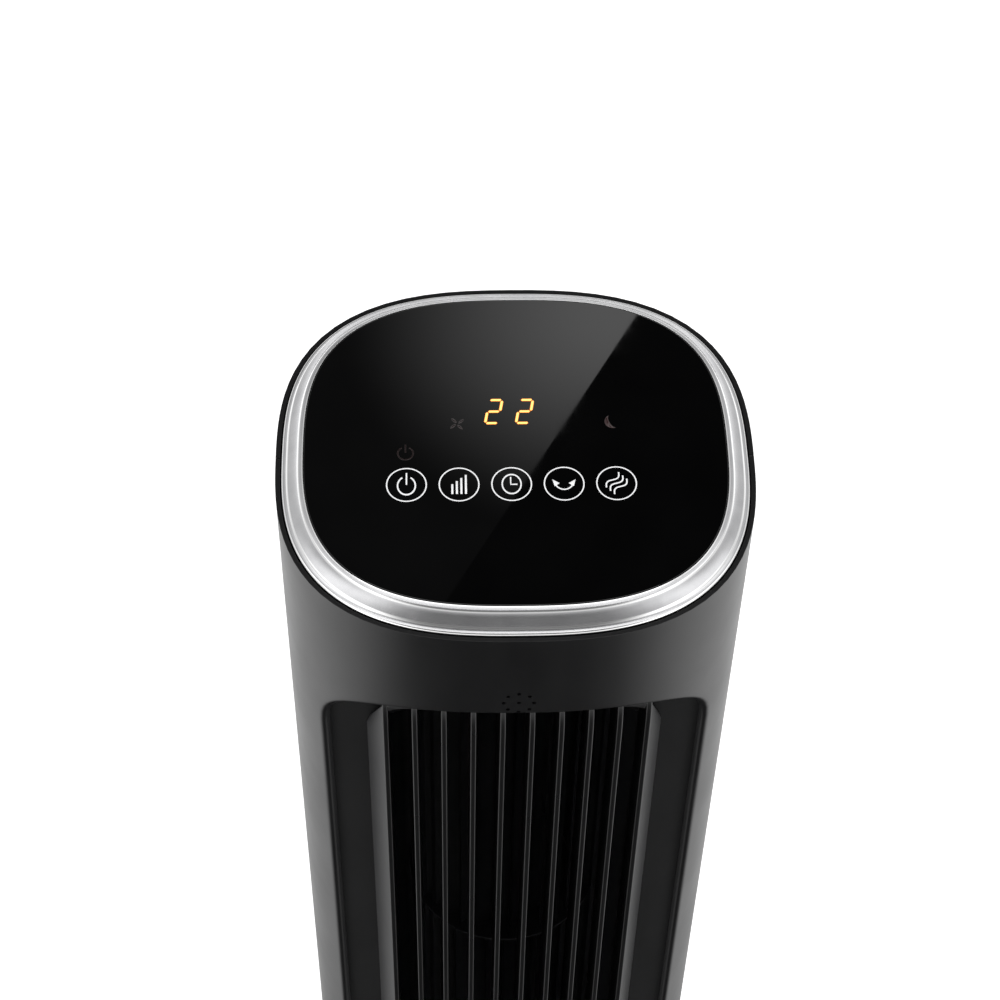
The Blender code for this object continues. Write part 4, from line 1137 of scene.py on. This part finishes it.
overhead = {"place": (0.0, -0.30, 2.70), "aim": (0, 0.02, 0.9), "wide": 1.7, "deep": 0.95, "power": 8.0}
light = bpy.data.lights.new("overhead", "AREA")
light.shape = "RECTANGLE"
light.size = overhead["wide"]
light.size_y = overhead["deep"]
light.energy = overhead["power"]
light.spread = math.radians(180)
lamp = addObject("overhead", light)
lamp.location = overhead["place"]
towards = Vector(overhead["aim"]) - Vector(overhead["place"])
lamp.rotation_euler = towards.to_track_quat("-Z", "Y").to_euler()
lamp.visible_camera = False

# glossy surroundings: bright low panels at both sides and behind, a bright line low in front, dark overhead
world = bpy.data.worlds.new("studio")
world.use_nodes = True
scene.world = world
skyTree = world.node_tree
sky = skyTree.nodes["Background"]


def joined(operation, first, second=None):
    made = addNode(skyTree, "ShaderNodeMath", operation=operation)
    for number, value in enumerate((first, second)):
        if isinstance(value, (int, float)):
            made.inputs[number].default_value = value
        elif value is not None:
            skyTree.links.new(value, made.inputs[number])
    return made.outputs["Value"]


def eased(source, fromLow, fromHigh, toLow, toHigh):
    span = addNode(skyTree, "ShaderNodeMapRange", interpolation_type="SMOOTHSTEP")
    setRange(span, fromLow, fromHigh, toLow, toHigh)
    skyTree.links.new(source, span.inputs["Value"])
    return span.outputs["Result"]


skyCoords = addNode(skyTree, "ShaderNodeTexCoord")
parts = addNode(skyTree, "ShaderNodeSeparateXYZ")
skyTree.links.new(skyCoords.outputs["Generated"], parts.inputs["Vector"])
sideways, onward, upward = parts.outputs["X"], parts.outputs["Y"], parts.outputs["Z"]
aside = joined("ABSOLUTE", sideways)
sidePanels = joined("MULTIPLY", eased(aside, 0.20, 0.68, 0.0, 1.0), eased(upward, -0.30, 0.20, 1.30, 0.68))
highSides = joined("MULTIPLY", eased(aside, 0.30, 0.62, 0.0, 0.85),
                   joined("MULTIPLY", eased(upward, 0.28, 0.60, 0.0, 1.0),
                          eased(onward, -0.10, 0.35, 1.0, 0.0)))
frontLine = joined("MULTIPLY", eased(onward, -0.90, -0.30, 1.0, 0.0),
                   eased(joined("ABSOLUTE", joined("ADD", upward, -0.06)), 0.20, 0.50, 0.95, 0.0))
behindLow = joined("MULTIPLY", eased(onward, 0.20, 0.65, 0.0, 1.0),
                   joined("MULTIPLY", eased(upward, 0.20, 0.42, 1.10, 0.0),
                          eased(aside, 0.30, 0.62, 1.0, 0.10)))
overFront = joined("MULTIPLY", eased(onward, -0.75, -0.20, 1.0, 0.0), eased(upward, 0.30, 0.75, 0.0, 0.20))
total = joined("ADD", joined("ADD", sidePanels, frontLine), joined("ADD", behindLow, overFront))
glossyLevel = joined("ADD", joined("ADD", total, highSides), 0.022)  # and a little from everywhere
pathNode = addNode(skyTree, "ShaderNodeLightPath")
paleSky = addNode(skyTree, "ShaderNodeBackground", Color=(0.945, 0.945, 0.945, 1))  # what the camera sees
blendSky = addNode(skyTree, "ShaderNodeMixShader")
skyTree.links.new(glossyLevel, sky.inputs["Strength"])
sky.inputs["Color"].default_value = (1, 1, 1, 1)
skyTree.links.new(pathNode.outputs["Is Camera Ray"], blendSky.inputs["Fac"])
skyTree.links.new(sky.outputs["Background"], blendSky.inputs[1])
skyTree.links.new(paleSky.outputs["Background"], blendSky.inputs[2])
skyTree.links.new(blendSky.outputs["Shader"], skyTree.nodes["World Output"].inputs["Surface"])
scene.view_settings.view_transform = "Standard"

view = {
    "azimuth": math.radians(-2.283),
    "elevation": math.radians(49.654),
    "roll": math.radians(1.266),
    "distance": 0.8316,
    "aim": Vector((-0.0051, 0.0, tower["rim"] - 0.0238)),
    "lens": 82.471,
}
back = Vector((math.sin(view["azimuth"]) * math.cos(view["elevation"]),
               -math.cos(view["azimuth"]) * math.cos(view["elevation"]), math.sin(view["elevation"])))
right = Vector((0, 0, 1)).cross(back).normalized()
up = back.cross(right)
rightRolled = right * math.cos(view["roll"]) + up * math.sin(view["roll"])
upRolled = up * math.cos(view["roll"]) - right * math.sin(view["roll"])
camera = addObject("camera", bpy.data.cameras.new("camera"))
camera.data.lens = view["lens"]
camera.data.sensor_width = 36.0
camera.data.clip_start = 0.02
camera.data.clip_end = 60.0
turned = Matrix((rightRolled, upRolled, back)).transposed().to_4x4()
camera.matrix_world = Matrix.Translation(view["aim"] + back * view["distance"]) @ turned
scene.camera = camera

# a card seen only in the gloss: its straight edge crosses the glass as a diagonal, and it fades to the left
card = {
    "edge": ((0.0466, 0.0595), (-0.0050, -0.0293)),  # where that edge lies on the glass
    "centre": (0.040, 0.060),                        # the brightest spot on the glass
    "fade": 0.106,
    "away": 2.6,
    "strength": 1.85,
    "faded": 0.06,
    "farLeft": -0.20,
}
glassNormal = Vector((0, -tower["slope"], 1)).normalized()
glassPoint = Vector((0, 0, tower["rim"] + bezel["rise"]))
eye = camera.matrix_world.translation
mirrored = eye - 2 * (eye - glassPoint).dot(glassNormal) * glassNormal


def onCard(x, y):
    spot = Vector((x, y, rimHeight(y, bezel["rise"])))
    return mirrored + (spot - mirrored) * card["away"]


(x1, y1), (x2, y2) = card["edge"]
alongX, alongY = x1 - x2, y1 - y2
above, below = 0.5, 0.7  # how far the edge runs on past the glass, as shares of its length
corners = [(x1 + alongX * above, y1 + alongY * above), (card["farLeft"], y1 + alongY * above),
           (card["farLeft"], y2 - alongY * below), (x2 - alongX * below, y2 - alongY * below)]
bm = bmesh.new()
bm.faces.new([bm.verts.new(onCard(x, y)) for x, y in corners])
cardPiece = addObject("card", meshFrom("card", bm))
cardFinish = bpy.data.materials.new("cardGlow")
cardFinish.use_nodes = True
tree = cardFinish.node_tree
tree.nodes.clear()
coords = addNode(tree, "ShaderNodeTexCoord")
place = addNode(tree, "ShaderNodeVectorMath", operation="SUBTRACT")
place.inputs[1].default_value = onCard(*card["centre"])
reach = addNode(tree, "ShaderNodeVectorMath", operation="LENGTH")
fade = addNode(tree, "ShaderNodeMapRange", interpolation_type="SMOOTHSTEP")
setRange(fade, 0.0, card["fade"] * card["away"], card["strength"], card["faded"])
glow = addNode(tree, "ShaderNodeEmission")
output = addNode(tree, "ShaderNodeOutputMaterial")
tree.links.new(coords.outputs["Object"], place.inputs[0])
tree.links.new(place.outputs["Vector"], reach.inputs[0])
tree.links.new(reach.outputs["Value"], fade.inputs["Value"])
tree.links.new(fade.outputs["Result"], glow.inputs["Strength"])
tree.links.new(glow.outputs["Emission"], output.inputs["Surface"])
cardPiece.data.materials.append(cardFinish)
for ray in ("visible_camera", "visible_diffuse", "visible_shadow", "visible_transmission"):
    setattr(cardPiece, ray, False)
print("studio done")
